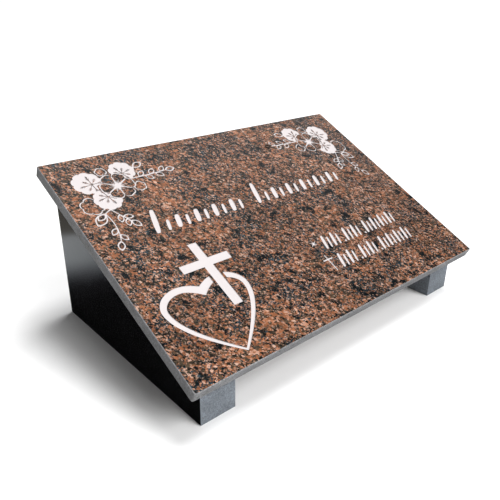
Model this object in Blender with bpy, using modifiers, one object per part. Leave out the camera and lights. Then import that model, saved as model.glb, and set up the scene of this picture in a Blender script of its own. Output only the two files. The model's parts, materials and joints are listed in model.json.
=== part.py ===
"""Sloping granite grave plate: a polished slab with a painted engraving, on two wedge supports.

Metres, +Z up. X runs along the slab, Y runs back from its low front edge to its high back edge.
The origin is at the floor, under the middle of the object's box.
"""

import math

import bmesh
import bpy
from mathutils import Matrix, Vector
from mathutils.geometry import interpolate_bezier

# Slab
SLAB_LENGTH = 0.700
SLAB_DEPTH = 0.480
SLAB_THICKNESS = 0.020
SLAB_TILT = math.radians(25.5)
SLAB_CORNER_RADIUS = 0.0025
SLAB_ARRIS = 0.0012

# Supports, one near each end of the slab
SUPPORT_WIDTH = 0.065
SUPPORT_FRONT_HEIGHT = 0.080
SUPPORT_SIDE_INSET = 0.028
SUPPORT_FRONT_INSET = 0.020
SUPPORT_BACK_INSET = 0.002
SUPPORT_ARRIS = 0.0010
SEAT_GAP = 0.0003

# Engraving, cut straight down into the slab's top
ENGRAVING_DEPTH = 0.0010
CUTTER_RISE = 0.0020
LINE_WIDTH = 0.0013

# Heart, an open ribbon, measured from the slab's left and front edges
HEART_FROM_LEFT = 0.1107
HEART_FROM_FRONT = 0.0220
HEART_WIDTH = 0.1615
HEART_HEIGHT = 0.1405
HEART_BREAK = 0.0045

# Cross, standing in the heart's right half
CROSS_FROM_HEART = 0.0395
CROSS_FROM_FRONT = 0.0975
CROSS_HEIGHT = 0.1340
CROSS_SPAN = 0.0965
CROSS_POST = 0.0175
CROSS_ARM = 0.0160
CROSS_HEAD = 0.0355

# Name row: two groups of leaning strokes above the cross, the first of each group tall
NAME_ABOVE_CROSS = 0.0395
NAME_FROM_LEFT = 0.1100
NAME_GROUPS = (5, 6)
NAME_PITCH = 0.0395
NAME_GROUP_GAP = 0.0260
NAME_TALL = 0.0530
NAME_LOW = 0.0290
NAME_STROKE = 0.0095
NAME_THIN_STROKE = 0.0062

# Date rows: a small sign, then groups of leaning strokes parted by dots
DATE_FROM_RIGHT = 0.1020
DATE_GROUPS = (2, 2, 4)
DATE_PITCH = 0.0242
DATE_DOT_PITCH = 0.0110
DATE_HEIGHT = 0.0310
DATE_STROKE = 0.0064
DATE_THIN_STROKE = 0.0046
DATE_DOT = 0.0048
DATE_ROWS_FROM_FRONT = (0.1265, 0.0800)
SIGN_GAP = 0.0180
STAR_SIZE = 0.0135
STAR_RAYS = 6
STAR_WAIST_SHARE = 0.29
SMALL_CROSS_HEIGHT = 0.0370
SMALL_CROSS_SPAN = 0.0240
SMALL_CROSS_HEAD = 0.0090
SMALL_CROSS_LINE = 0.0022
STROKE_LEAN = math.radians(16.0)
# Where a place's full and thin strokes stand, as shares of the pitch, and the thin one's share of height
STROKE_PLACE_SHARES = (0.28, 0.74)
THIN_STROKE_SHARE = 0.80
# The lower, the squarer a stroke's ends
STROKE_ROUND_POWER = 0.3

# Flower sprays, one in each back corner, drawn for the left one and mirrored for the right one
SPRAY_FROM_SIDE = 0.1063
SPRAY_FROM_BACK = 0.0842
RIGHT_SPRAY_SHIFT = 0.0105
FLOWER_RADIUS = 0.0330
FLOWER_PETALS = 6
FULL_SCALLOPS = 9
OPEN_SCALLOPS = 6
LEAF_VEINS = 7
VEIN_WIDTH = 0.0016
# Scalloped leaf, in shares of its radius: rim between the scallops, their rise, depth of the cleft
LEAF_RIM_SHARE = 0.90
SCALLOP_SHARE = 0.10
CLEFT_SHARE = 0.42
CLEFT_ANGLE = 0.30
SCALLOP_ROUND_POWER = 0.7
# Veins of a full leaf, in shares of its radius: where they spring from, and their reach
VEIN_FOOT_SHARE = 0.28
LONG_VEIN_SHARE = 0.68
SHORT_VEIN_SHARE = 0.52
# Open flower, in shares of its radius: rim between the petals, their rise and the dip on each
PETAL_NECK_SHARE = 0.66
PETAL_RISE_SHARE = 0.34
PETAL_DIP_SHARE = 0.04
PETAL_ROUND_POWER = 0.45
# Bare stone in a petal: where it starts and is widest, and its share of the petal's angle
FIELD_START_SHARE = 0.24
FIELD_SHOULDER_SHARE = 0.60
FIELD_ANGLE_SHARE = 0.78
# Full leaves: offset from the flower (along, back), radius and the stalk's heading in degrees
FULL_LEAVES = (
    (-0.0460, 0.0200, 0.0275, -40.0),
    (0.0255, 0.0325, 0.0245, -115.0),
    (-0.0325, -0.0260, 0.0250, 60.0),
)
# Open leaves, the same but only a scalloped line
OPEN_LEAVES = (
    (-0.0640, -0.0330, 0.0190, 35.0),
    (-0.0120, 0.0400, 0.0110, -75.0),
    (0.0390, -0.0140, 0.0100, 140.0),
)
# Sprigs: root offset from the flower, heading and bend in degrees, length,
# how many leaves and the share of the stem that is bare before the first of them
SPRIGS = (
    (0.0335, 0.0095, 0.0, 4.0, 0.0720, 6, 0.14),
    (-0.0385, -0.0500, -98.0, -14.0, 0.0660, 3, 0.52),
    (-0.0385, -0.0500, -66.0, 12.0, 0.0400, 3, 0.34),
)
# Loose leaves: root offset from the flower, heading in degrees and length
LOOSE_LEAVES = (
    (0.0490, 0.0350, 20.0, 0.0230),
    (-0.0400, -0.0500, -158.0, 0.0270),
    (-0.0405, -0.0520, -132.0, 0.0310),
)
SPRIG_LEAF = 0.0205
LEAF_WIDTH_SHARE = 0.46
LEAF_ROUND_POWER = 0.8
SPRIG_LEAF_SPREAD = math.radians(42.0)
# A leaf beside the stem is a little smaller than the one at its tip, and more so further up
SIDE_LEAF_SHARE = 0.94
LEAF_SHRINK_SHARE = 0.12
# How far a leaf's bare stone stands back from its points, in line widths
LEAF_POINT_RATIO = 1.6

# Outline fineness
CORNER_STEPS = 4
HEART_STEPS = 8
STROKE_STEPS = 5
LEAF_STEPS = 4
FIELD_STEPS = 3
SCALLOP_STEPS = 4
PETAL_STEPS = 4
STEM_STEPS = 4
ROUND_STEPS = 8

# Points nearer than this are one, faces turned by less than FLAT_TURN are one flat face,
# and edges turned by more than ARRIS_TURN are eased
MERGE_DISTANCE = 0.00001
FLAT_TURN = math.radians(0.2)
ARRIS_TURN = math.radians(30.0)

# Heart's half outlines as shares of half its width and of its height, tip to cusp:
# start point, then each curve's two handles and end point
HEART_OUTER = (
    (0.0, 0.0),
    ((0.42, 0.20), (1.00, 0.50), (1.00, 0.757)),
    ((1.00, 0.892), (0.75, 1.00), (0.45, 1.00)),
    ((0.25, 1.00), (0.10, 0.950), (0.0, 0.917)),
)
HEART_INNER = (
    (0.0, 0.034),
    ((0.36, 0.225), (0.876, 0.52), (0.876, 0.745)),
    ((0.876, 0.840), (0.691, 0.917), (0.464, 0.917)),
    ((0.30, 0.917), (0.11, 0.840), (0.0, 0.781)),
)

# Stone and paint: colour, roughness, metallic
RED_GRANITE = ("polished_red_granite", (0.30, 0.145, 0.095, 1.0), 0.16, 0.0)
BLACK_GRANITE = ("black_granite", (0.035, 0.036, 0.040, 1.0), 0.22, 0.0)


def clear_scene():
    """Remove every object of the scene that the file opened with."""
    for item in list(bpy.data.objects):
        bpy.data.objects.remove(item, do_unlink=True)


def new_collection(name):
    """Make a collection under the scene's own one."""
    collection = bpy.data.collections.new(name)
    bpy.context.scene.collection.children.link(collection)
    return collection


def stone_material(finish):
    """Make a Principled material from a finish's name, colour, roughness and metallic value."""
    name, colour, roughness, metallic = finish
    material = bpy.data.materials.new(name)
    material.use_nodes = True
    shader = material.node_tree.nodes["Principled BSDF"]
    shader.inputs["Base Color"].default_value = colour
    shader.inputs["Roughness"].default_value = roughness
    shader.inputs["Metallic"].default_value = metallic
    material.diffuse_color = colour
    return material


def extruded(name, loops, low, high, collection, placement=None):
    """Make a closed mesh object from flat loops, from height low to height high along its own Z."""
    curve = bpy.data.curves.new(name + "_outline", "CURVE")
    curve.dimensions = "2D"
    curve.fill_mode = "BOTH"
    curve.extrude = (high - low) / 2
    for loop in loops:
        spline = curve.splines.new("POLY")
        spline.points.add(len(loop) - 1)
        for point, (x, y) in zip(spline.points, loop):
            point.co = (x, y, 0.0, 1.0)
        spline.use_cyclic_u = True
    drawn = bpy.data.objects.new(name + "_outline", curve)
    collection.objects.link(drawn)
    drawn.matrix_world = (placement or Matrix()) @ Matrix.Translation((0.0, 0.0, (high + low) / 2))
    bpy.context.view_layer.update()
    evaluated = drawn.evaluated_get(bpy.context.evaluated_depsgraph_get())
    mesh = bpy.data.meshes.new_from_object(evaluated)
    mesh.name = name
    solid = bpy.data.objects.new(name, mesh)
    collection.objects.link(solid)
    solid.matrix_world = drawn.matrix_world.copy()
    bpy.data.objects.remove(drawn, do_unlink=True)
    bpy.data.curves.remove(curve)
    work = bmesh.new()
    work.from_mesh(mesh)
    bmesh.ops.remove_doubles(work, verts=work.verts, dist=MERGE_DISTANCE)
    bmesh.ops.recalc_face_normals(work, faces=work.faces)
    work.to_mesh(mesh)
    work.free()
    return solid


def chamfer_edges(solid, width):
    """Take the arrises off a solid with one flat, leaving the small steps of round corners alone."""
    # The flat faces are made whole first, as slim triangles would hold the chamfer back
    work = bmesh.new()
    work.from_mesh(solid.data)
    bmesh.ops.dissolve_limit(work, angle_limit=FLAT_TURN, verts=work.verts, edges=work.edges)
    work.to_mesh(solid.data)
    work.free()
    bevel = solid.modifiers.new("arris", "BEVEL")
    bevel.width = width
    bevel.segments = 1
    bevel.limit_method = "ANGLE"
    bevel.angle_limit = ARRIS_TURN
    bevel.use_clamp_overlap = True


# Flat shapes, each a list of (x, y) points going round once


def rounded_rectangle(width, depth, radius):
    """Rectangle centred in x, from y = 0 to y = depth, with round corners."""
    corners = (
        (width / 2 - radius, depth - radius, 0.0),
        (-width / 2 + radius, depth - radius, 90.0),
        (-width / 2 + radius, radius, 180.0),
        (width / 2 - radius, radius, 270.0),
    )
    points = []
    for x, y, start in corners:
        for step in range(CORNER_STEPS + 1):
            angle = math.radians(start + 90.0 * step / CORNER_STEPS)
            points.append((x + radius * math.cos(angle), y + radius * math.sin(angle)))
    return points


def rectangle(left, right, low, high):
    """Rectangle between two x values and two y values."""
    return [(left, low), (right, low), (right, high), (left, high)]


def cross_shape(x, foot, height, span, post, arm, head):
    """Latin cross with its post centred on x and standing on y = foot."""
    top = foot + height
    arm_high = top - head
    arm_low = arm_high - arm
    return [
        (x - post / 2, foot), (x + post / 2, foot),
        (x + post / 2, arm_low), (x + span / 2, arm_low),
        (x + span / 2, arm_high), (x + post / 2, arm_high),
        (x + post / 2, top), (x - post / 2, top),
        (x - post / 2, arm_high), (x - span / 2, arm_high),
        (x - span / 2, arm_low), (x - post / 2, arm_low),
    ]


def heart_shape(x, tip, half_outline):
    """Heart about the line x, with its tip at y = tip, from a half outline given in shares."""
    start, *curves = half_outline
    half = [start]
    here = Vector((start[0], start[1], 0.0))
    for handle_a, handle_b, end in curves:
        knots = [Vector((px, py, 0.0)) for px, py in (handle_a, handle_b, end)]
        drawn = interpolate_bezier(here, knots[0], knots[1], knots[2], HEART_STEPS + 1)
        half += [(point.x, point.y) for point in drawn[1:]]
        here = knots[2]
    right = [(x + px * HEART_WIDTH / 2, tip + py * HEART_HEIGHT) for px, py in half]
    left = [(2 * x - px, py) for px, py in reversed(right[1:-1])]
    return right + left


def lens(base, heading, length, width, steps):
    """Leaf shape: pointed at both ends and widest in the middle, with so many steps a side."""
    points = []
    for step in range(2 * steps):
        share = 1.0 - abs(1.0 - step / steps)
        side = 1.0 if step > steps else -1.0
        points.append((length * share, side * width / 2 * math.sin(math.pi * share) ** LEAF_ROUND_POWER))
    cosine, sine = math.cos(heading), math.sin(heading)
    return [(base[0] + x * cosine - y * sine, base[1] + x * sine + y * cosine) for x, y in points]


def stroke(x, foot, height, width):
    """Leaning stroke: a slim bar that leans right, with round ends and a slightly full middle."""
    lean = height * math.tan(STROKE_LEAN)
    right = []
    left = []
    for step in range(STROKE_STEPS + 1):
        share = (1.0 - math.cos(math.pi * step / STROKE_STEPS)) / 2
        along = x + lean * (share - 0.5)
        half = width / 2 * math.sin(math.pi * share) ** STROKE_ROUND_POWER
        right.append((along + half, foot + height * share))
        left.append((along - half, foot + height * share))
    return right[:-1] + left[:0:-1]


def disc(x, y, diameter):
    """Round dot."""
    turn = 2 * math.pi / ROUND_STEPS
    return [
        (x + diameter / 2 * math.cos(turn * step), y + diameter / 2 * math.sin(turn * step))
        for step in range(ROUND_STEPS)
    ]


def star(x, y, size):
    """Small star."""
    points = []
    for step in range(2 * STAR_RAYS):
        reach = size / 2 * (1.0 if step % 2 == 0 else STAR_WAIST_SHARE)
        angle = math.pi / 2 + step * math.pi / STAR_RAYS
        points.append((x + reach * math.cos(angle), y + reach * math.sin(angle)))
    return points


def scalloped_radius(angle, radius, stalk, scallops):
    """Radius of a scalloped round leaf, with a cleft where its stalk joins."""
    away = math.remainder(angle - stalk, 2 * math.pi)
    wave = abs(math.cos(scallops * away / 2)) ** SCALLOP_ROUND_POWER
    cleft = CLEFT_SHARE * math.exp(-((away / CLEFT_ANGLE) ** 2))
    return radius * (LEAF_RIM_SHARE + SCALLOP_SHARE * wave - cleft)


def scalloped_leaf(x, y, radius, stalk, scallops):
    """Outline of a scalloped round leaf about (x, y)."""
    count = scallops * SCALLOP_STEPS
    points = []
    for step in range(count):
        angle = stalk + 2 * math.pi * step / count
        reach = scalloped_radius(angle, radius, stalk, scallops)
        points.append((x + reach * math.cos(angle), y + reach * math.sin(angle)))
    return points


def vein_island(x, y, radius, stalk):
    """Fan of veins left standing in a full leaf, as one thin star of stone."""
    spread = 2 * math.pi / (LEAF_VEINS + 1)
    crotch = VEIN_WIDTH / 2
    points = []
    for number in range(1, LEAF_VEINS + 1):
        angle = stalk + number * spread
        reach = radius * (LONG_VEIN_SHARE if number % 2 else SHORT_VEIN_SHARE)
        for heading, distance in ((angle - spread / 2, crotch), (angle, reach)):
            points.append((x + distance * math.cos(heading), y + distance * math.sin(heading)))
    last = stalk + LEAF_VEINS * spread + spread / 2
    points.append((x + crotch * math.cos(last), y + crotch * math.sin(last)))
    return points


def petal_edge(angle, radius):
    """Radius of the flower's wavy rim: deep between the petals, with a shallow dip on each."""
    phase = math.remainder(angle * FLOWER_PETALS, 2 * math.pi) / 2
    rise = PETAL_RISE_SHARE * abs(math.cos(phase)) ** PETAL_ROUND_POWER
    return radius * (PETAL_NECK_SHARE + rise) * (1.0 - PETAL_DIP_SHARE * math.cos(4 * phase))


def flower_rim(x, y, radius):
    """Outline of the whole open flower about (x, y)."""
    count = FLOWER_PETALS * 2 * PETAL_STEPS
    points = []
    for step in range(count):
        angle = 2 * math.pi * step / count
        reach = petal_edge(angle, radius)
        points.append((x + reach * math.cos(angle), y + reach * math.sin(angle)))
    return points


def petal_field(x, y, radius, number):
    """Bare stone inside one petal, a line's width inside the rim and the lines between petals."""
    middle = 2 * math.pi * number / FLOWER_PETALS
    half = math.pi / FLOWER_PETALS
    sides = []
    for reach in (radius * FIELD_START_SHARE, radius * FIELD_SHOULDER_SHARE):
        sides.append((reach, half - LINE_WIDTH / 2 / reach))
    places = [(reach, -spread) for reach, spread in sides]
    for step in range(PETAL_STEPS + 1):
        spread = half * (2.0 * step / PETAL_STEPS - 1.0) * FIELD_ANGLE_SHARE
        places.append((petal_edge(middle + spread, radius) - LINE_WIDTH, spread))
    places += [(reach, spread) for reach, spread in reversed(sides)]
    points = []
    for reach, spread in places:
        points.append((x + reach * math.cos(middle + spread), y + reach * math.sin(middle + spread)))
    return points


def stem_points(root, heading, bend, length):
    """Centre line of a sprig's stem: an arc that turns by bend over its length."""
    points = [Vector(root)]
    for step in range(STEM_STEPS):
        angle = heading + bend * (step + 0.5) / STEM_STEPS
        reach = Vector((math.cos(angle), math.sin(angle))) * length / STEM_STEPS
        points.append(points[-1] + reach)
    return points


def ribbon(points, width):
    """Narrow band along a line of points."""
    left = []
    right = []
    for number, point in enumerate(points):
        before = points[max(number - 1, 0)]
        after = points[min(number + 1, len(points) - 1)]
        along = (after - before).normalized()
        across = Vector((-along.y, along.x)) * width / 2
        left.append(tuple(point + across))
        right.append(tuple(point - across))
    return right + left[::-1]


# Engraved pieces, each a list of (name, loops) in the slab's own plan


def ring_leaf(base, heading, length):
    """Open leaf of a sprig: a lens-shaped line round bare stone."""
    width = length * LEAF_WIDTH_SHARE
    lift = LINE_WIDTH * LEAF_POINT_RATIO
    inner_base = (base[0] + lift * math.cos(heading), base[1] + lift * math.sin(heading))
    inner = lens(inner_base, heading, length - 2 * lift, width - 2 * LINE_WIDTH, FIELD_STEPS)
    return [lens(base, heading, length, width, LEAF_STEPS), inner]


def sprig(name, root, heading, bend, length, leaves, bare):
    """Stem with leaves by turns on its two sides, past its bare share, and one at its tip."""
    line = stem_points(root, heading, bend, length)
    shapes = [(name + "_stem", [ribbon(line, LINE_WIDTH)])]
    shapes.append((name + "_tip", ring_leaf(tuple(line[-1]), heading + bend, SPRIG_LEAF)))
    for number in range(leaves):
        side = 1 if number % 2 == 0 else -1
        share = bare + (1.0 - bare) * number / leaves
        place = share * STEM_STEPS
        before = int(place)
        base = line[before].lerp(line[before + 1], place - before)
        turn = heading + bend * share + side * SPRIG_LEAF_SPREAD
        size = SPRIG_LEAF * (SIDE_LEAF_SHARE - LEAF_SHRINK_SHARE * share)
        shapes.append(("{}_leaf_{}".format(name, number + 1), ring_leaf(tuple(base), turn, size)))
    return shapes


def mirrored(shapes):
    """The same shapes mirrored left to right."""
    return [(name, [[(-x, y) for x, y in reversed(loop)] for loop in loops]) for name, loops in shapes]


def flower_spray(name, x, y):
    """Spray about a flower at (x, y): full leaves, open leaves, sprigs and the open flower."""
    silhouette = flower_rim(x, y, FLOWER_RADIUS - LINE_WIDTH / 2)
    behind = []
    for number, (along, back, radius, stalk) in enumerate(FULL_LEAVES, 1):
        turn = math.radians(stalk)
        centre = (x + along, y + back)
        reach = radius * VEIN_FOOT_SHARE
        foot = (centre[0] + reach * math.cos(turn), centre[1] + reach * math.sin(turn))
        loops = [scalloped_leaf(*centre, radius, turn, FULL_SCALLOPS), vein_island(*foot, radius, turn)]
        behind.append(("{}_full_leaf_{}".format(name, number), loops))
    for number, (along, back, radius, stalk) in enumerate(OPEN_LEAVES, 1):
        turn = math.radians(stalk)
        outer = scalloped_leaf(x + along, y + back, radius, turn, OPEN_SCALLOPS)
        inner = scalloped_leaf(x + along, y + back, radius - LINE_WIDTH, turn, OPEN_SCALLOPS)
        behind.append(("{}_open_leaf_{}".format(name, number), [outer, inner]))
    sprigs = []
    for number, (along, back, heading, bend, length, leaves, bare) in enumerate(SPRIGS, 1):
        root = (x + along, y + back)
        title = "{}_sprig_{}".format(name, number)
        turns = (math.radians(heading), math.radians(bend))
        sprigs += sprig(title, root, *turns, length, leaves, bare)
    for number, (along, back, heading, length) in enumerate(LOOSE_LEAVES, 1):
        root = (x + along, y + back)
        title = "{}_sprig_loose_leaf_{}".format(name, number)
        sprigs.append((title, ring_leaf(root, math.radians(heading), length)))
    fields = [petal_field(x, y, FLOWER_RADIUS, number) for number in range(FLOWER_PETALS)]
    flower = [(name + "_flower", [flower_rim(x, y, FLOWER_RADIUS)] + fields)]
    return silhouette, behind, sprigs + flower


def stroke_row(name, x, foot, groups, pitch, group_gap, heights, widths):
    """Row of leaning strokes in groups; each place holds a full stroke and a thin one."""
    tall, low = heights
    full, thin = widths
    shapes = []
    for group, count in enumerate(groups):
        for place in range(count):
            height = tall if place == 0 else low
            title = "{}_{}_{}".format(name, group + 1, place + 1)
            first, second = (x + pitch * share for share in STROKE_PLACE_SHARES)
            shapes.append((title, [stroke(first, foot, height, full)]))
            shapes.append((title + "_thin", [stroke(second, foot, low * THIN_STROKE_SHARE, thin)]))
            x += pitch
        x += group_gap
    return shapes


def inscription():
    """Rows of strokes in place of the words, with a star and a small cross before the last two."""
    left_edge = -SLAB_LENGTH / 2
    name_foot = CROSS_FROM_FRONT + CROSS_HEIGHT + NAME_ABOVE_CROSS
    shapes = stroke_row(
        "name", left_edge + NAME_FROM_LEFT, name_foot, NAME_GROUPS, NAME_PITCH, NAME_GROUP_GAP,
        (NAME_TALL, NAME_LOW), (NAME_STROKE, NAME_THIN_STROKE),
    )
    row_length = sum(DATE_GROUPS) * DATE_PITCH + (len(DATE_GROUPS) - 1) * DATE_DOT_PITCH
    row_start = SLAB_LENGTH / 2 - DATE_FROM_RIGHT - row_length
    for number, foot in enumerate(DATE_ROWS_FROM_FRONT, 1):
        title = "date_{}".format(number)
        shapes += stroke_row(
            title, row_start, foot, DATE_GROUPS, DATE_PITCH, DATE_DOT_PITCH,
            (DATE_HEIGHT, DATE_HEIGHT), (DATE_STROKE, DATE_THIN_STROKE),
        )
        dot_x = row_start - DATE_DOT_PITCH / 2
        for group, count in enumerate(DATE_GROUPS[:-1], 1):
            dot_x += count * DATE_PITCH + DATE_DOT_PITCH
            shapes.append(("{}_dot_{}".format(title, group), [disc(dot_x, foot + DATE_DOT / 2, DATE_DOT)]))
    sign_x = row_start - SIGN_GAP
    star_y = DATE_ROWS_FROM_FRONT[0] + DATE_HEIGHT - STAR_SIZE / 2
    shapes.append(("star", [star(sign_x, star_y, STAR_SIZE)]))
    sign = cross_shape(
        sign_x, DATE_ROWS_FROM_FRONT[1], SMALL_CROSS_HEIGHT, SMALL_CROSS_SPAN,
        SMALL_CROSS_LINE, SMALL_CROSS_LINE, SMALL_CROSS_HEAD,
    )
    shapes.append(("small_cross", [sign]))
    return shapes


def cut(solid, cutter, name):
    """Add a Boolean modifier that takes the cutter out of the solid."""
    boolean = solid.modifiers.new(name, "BOOLEAN")
    boolean.operation = "DIFFERENCE"
    boolean.solver = "EXACT"
    boolean.object = cutter


def applied(solid):
    """Replace a solid's mesh with its evaluated one and drop its modifiers."""
    bpy.context.view_layer.update()
    evaluated = solid.evaluated_get(bpy.context.evaluated_depsgraph_get())
    mesh = bpy.data.meshes.new_from_object(evaluated)
    solid.modifiers.clear()
    solid.data = mesh


def engraving_cutters(collection):
    """Make every cutter of the engraving, in the slab's plan, and return them."""
    low = SLAB_THICKNESS - ENGRAVING_DEPTH
    high = SLAB_THICKNESS + CUTTER_RISE
    left_edge = -SLAB_LENGTH / 2
    heart_x = left_edge + HEART_FROM_LEFT
    cross_x = heart_x + CROSS_FROM_HEART
    cross = cross_shape(
        cross_x, CROSS_FROM_FRONT, CROSS_HEIGHT, CROSS_SPAN, CROSS_POST, CROSS_ARM, CROSS_HEAD,
    )
    cutters = [extruded("cut_cross", [cross], low, high, collection)]
    hearts = [heart_shape(heart_x, HEART_FROM_FRONT, half) for half in (HEART_OUTER, HEART_INNER)]
    heart = extruded("cut_heart", hearts, low, high, collection)
    reach = CROSS_POST / 2 + HEART_BREAK
    strip = rectangle(cross_x - reach, cross_x + reach, CROSS_FROM_FRONT, CROSS_FROM_FRONT + CROSS_HEIGHT)
    keeper = extruded("keep_beside_cross", [strip], low - CUTTER_RISE, high + CUTTER_RISE, collection)
    cut(heart, keeper, "break beside the cross")
    applied(heart)
    bpy.data.objects.remove(keeper, do_unlink=True)
    cutters.append(heart)
    for name, loops in inscription():
        cutters.append(extruded("cut_" + name, loops, low, high, collection))
    y = SLAB_DEPTH - SPRAY_FROM_BACK
    for side, inset in (("left", SPRAY_FROM_SIDE), ("right", SPRAY_FROM_SIDE + RIGHT_SPRAY_SHIFT)):
        silhouette, behind, before = flower_spray(side, left_edge + inset, y)
        shapes = [("silhouette", [silhouette])] + behind + before
        shapes = mirrored(shapes) if side == "right" else shapes
        keeper = extruded("keep_flower", shapes[0][1], low - CUTTER_RISE, high + CUTTER_RISE, collection)
        for name, loops in shapes[1:]:
            cutter = extruded("cut_" + name, loops, low, high, collection)
            if "leaf" in name and "sprig" not in name:
                cut(cutter, keeper, "clear of the flower")
                applied(cutter)
            cutters.append(cutter)
        bpy.data.objects.remove(keeper, do_unlink=True)
    for cutter in cutters:
        cutter.hide_render = True
        cutter.display_type = "WIRE"
    return cutters


def make_slab(collection, cutter_collection, front_y, front_z):
    """Slab lying on its slope, with its low front edge at (front_y, front_z)."""
    seat = bpy.data.objects.new("slab_seat", None)
    collection.objects.link(seat)
    seat.location = (0.0, front_y, front_z)
    seat.rotation_euler = (SLAB_TILT, 0.0, 0.0)
    plan = rounded_rectangle(SLAB_LENGTH, SLAB_DEPTH, SLAB_CORNER_RADIUS)
    slab = extruded("slab", [plan], 0.0, SLAB_THICKNESS, collection)
    chamfer_edges(slab, SLAB_ARRIS)
    cutters = engraving_cutters(cutter_collection)
    boolean = slab.modifiers.new("engraving", "BOOLEAN")
    boolean.operation = "DIFFERENCE"
    boolean.solver = "EXACT"
    boolean.operand_type = "COLLECTION"
    boolean.collection = cutter_collection
    for item in [slab] + cutters:
        item.parent = seat
    slab.data.materials.append(stone_material(RED_GRANITE))
    return slab


def make_support(name, side, material, collection, front_y, front_z):
    """Wedge support under one end of the slab: side is -1 for the left end and 1 for the right."""
    near = front_y + SUPPORT_FRONT_INSET
    far = front_y + SLAB_DEPTH * math.cos(SLAB_TILT) - SUPPORT_BACK_INSET
    drop = SEAT_GAP / math.cos(SLAB_TILT)
    heights = [front_z + (y - front_y) * math.tan(SLAB_TILT) - drop for y in (near, far)]
    profile = [(near, 0.0), (far, 0.0), (far, heights[1]), (near, heights[0])]
    # The profile is drawn in Y and Z and pushed out along X
    turned = Matrix(((0, 0, 1, 0), (1, 0, 0, 0), (0, 1, 0, 0), (0, 0, 0, 1)))
    outer = SLAB_LENGTH / 2 - SUPPORT_SIDE_INSET
    low, high = sorted((side * outer, side * (outer - SUPPORT_WIDTH)))
    support = extruded(name, [profile], low, high, collection, turned)
    chamfer_edges(support, SUPPORT_ARRIS)
    support.data.materials.append(material)
    return support


def main():
    """Build the slab and its two supports."""
    clear_scene()
    parts = new_collection("granite_headstone")
    cutters = new_collection("engraving_cutters")
    # The front edge's place puts the middle of the object's box over the origin
    front_reach = (SLAB_THICKNESS - SLAB_ARRIS) * math.sin(SLAB_TILT)
    back_reach = SLAB_DEPTH * math.cos(SLAB_TILT) - SLAB_ARRIS * math.sin(SLAB_TILT)
    front_y = (front_reach - back_reach) / 2
    rise = SEAT_GAP / math.cos(SLAB_TILT) - SUPPORT_FRONT_INSET * math.tan(SLAB_TILT)
    front_z = SUPPORT_FRONT_HEIGHT + rise
    make_slab(parts, cutters, front_y, front_z)
    black = stone_material(BLACK_GRANITE)
    make_support("left_support", -1, black, parts, front_y, front_z)
    make_support("right_support", 1, black.copy(), parts, front_y, front_z)


main()
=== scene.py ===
"""Sloping granite grave plate on two wedge supports, dressed and lit for one photograph.

Metres, +Z up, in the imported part's own frame: X runs along the slab, Y runs back up its slope.
"""

import json
import math

import bmesh
import bpy
from bpy.props import FloatProperty, FloatVectorProperty, PointerProperty
from mathutils import Matrix, Vector
from mathutils.geometry import interpolate_bezier

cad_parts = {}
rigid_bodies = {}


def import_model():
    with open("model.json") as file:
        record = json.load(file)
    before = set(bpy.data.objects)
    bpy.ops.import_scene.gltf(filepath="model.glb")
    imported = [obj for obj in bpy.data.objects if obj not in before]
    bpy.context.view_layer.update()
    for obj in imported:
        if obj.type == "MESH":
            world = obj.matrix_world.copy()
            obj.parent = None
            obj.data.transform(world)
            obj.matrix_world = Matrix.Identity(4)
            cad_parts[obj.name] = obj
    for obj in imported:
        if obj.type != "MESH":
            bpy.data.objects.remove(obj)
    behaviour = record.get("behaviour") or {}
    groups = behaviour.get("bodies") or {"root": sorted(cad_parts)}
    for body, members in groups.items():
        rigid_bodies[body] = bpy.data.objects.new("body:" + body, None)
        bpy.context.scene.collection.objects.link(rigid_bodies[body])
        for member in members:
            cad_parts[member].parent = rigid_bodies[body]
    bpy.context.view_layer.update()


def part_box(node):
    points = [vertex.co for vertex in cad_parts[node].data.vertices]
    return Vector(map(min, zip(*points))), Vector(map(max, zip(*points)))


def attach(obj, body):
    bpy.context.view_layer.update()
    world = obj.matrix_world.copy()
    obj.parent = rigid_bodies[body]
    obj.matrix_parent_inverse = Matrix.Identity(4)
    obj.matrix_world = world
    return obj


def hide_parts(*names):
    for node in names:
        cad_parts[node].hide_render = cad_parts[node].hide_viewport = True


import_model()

bl_info = {
    "name": "Granite Headstone",
    "version": (1, 0, 0),
    "blender": (4, 5, 0),
    "location": "3D View > Sidebar > Headstone",
    "description": "Makes the engraved slab, its two wedge supports and the studio round them",
    "category": "Add Mesh",
}

# Slab, in its own plan: x is centred, y runs up the slope from the low front edge, and z up from
# the underside. The cutters rise above its face, and crumbs under the least volume are no cutters
slab_low, slab_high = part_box("slab")
SLAB_LENGTH = slab_high[0] - slab_low[0]
SLAB_DEPTH = 0.480
SLAB_THICKNESS = 0.020
SLAB_TILT = math.radians(25.5)
CAD_ARRIS = 0.0012
CORNER_STEPS = 6
ARRIS_STEPS = 3
SUPPORT_ARRIS_STEPS = 2
EASED_ANGLE = math.radians(30.0)
LEVEL_NORMAL = 0.999
CUTTER_RISE = 0.0020
MERGE_DISTANCE = 0.00001
LEAST_VOLUME = 1.0e-10

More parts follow.
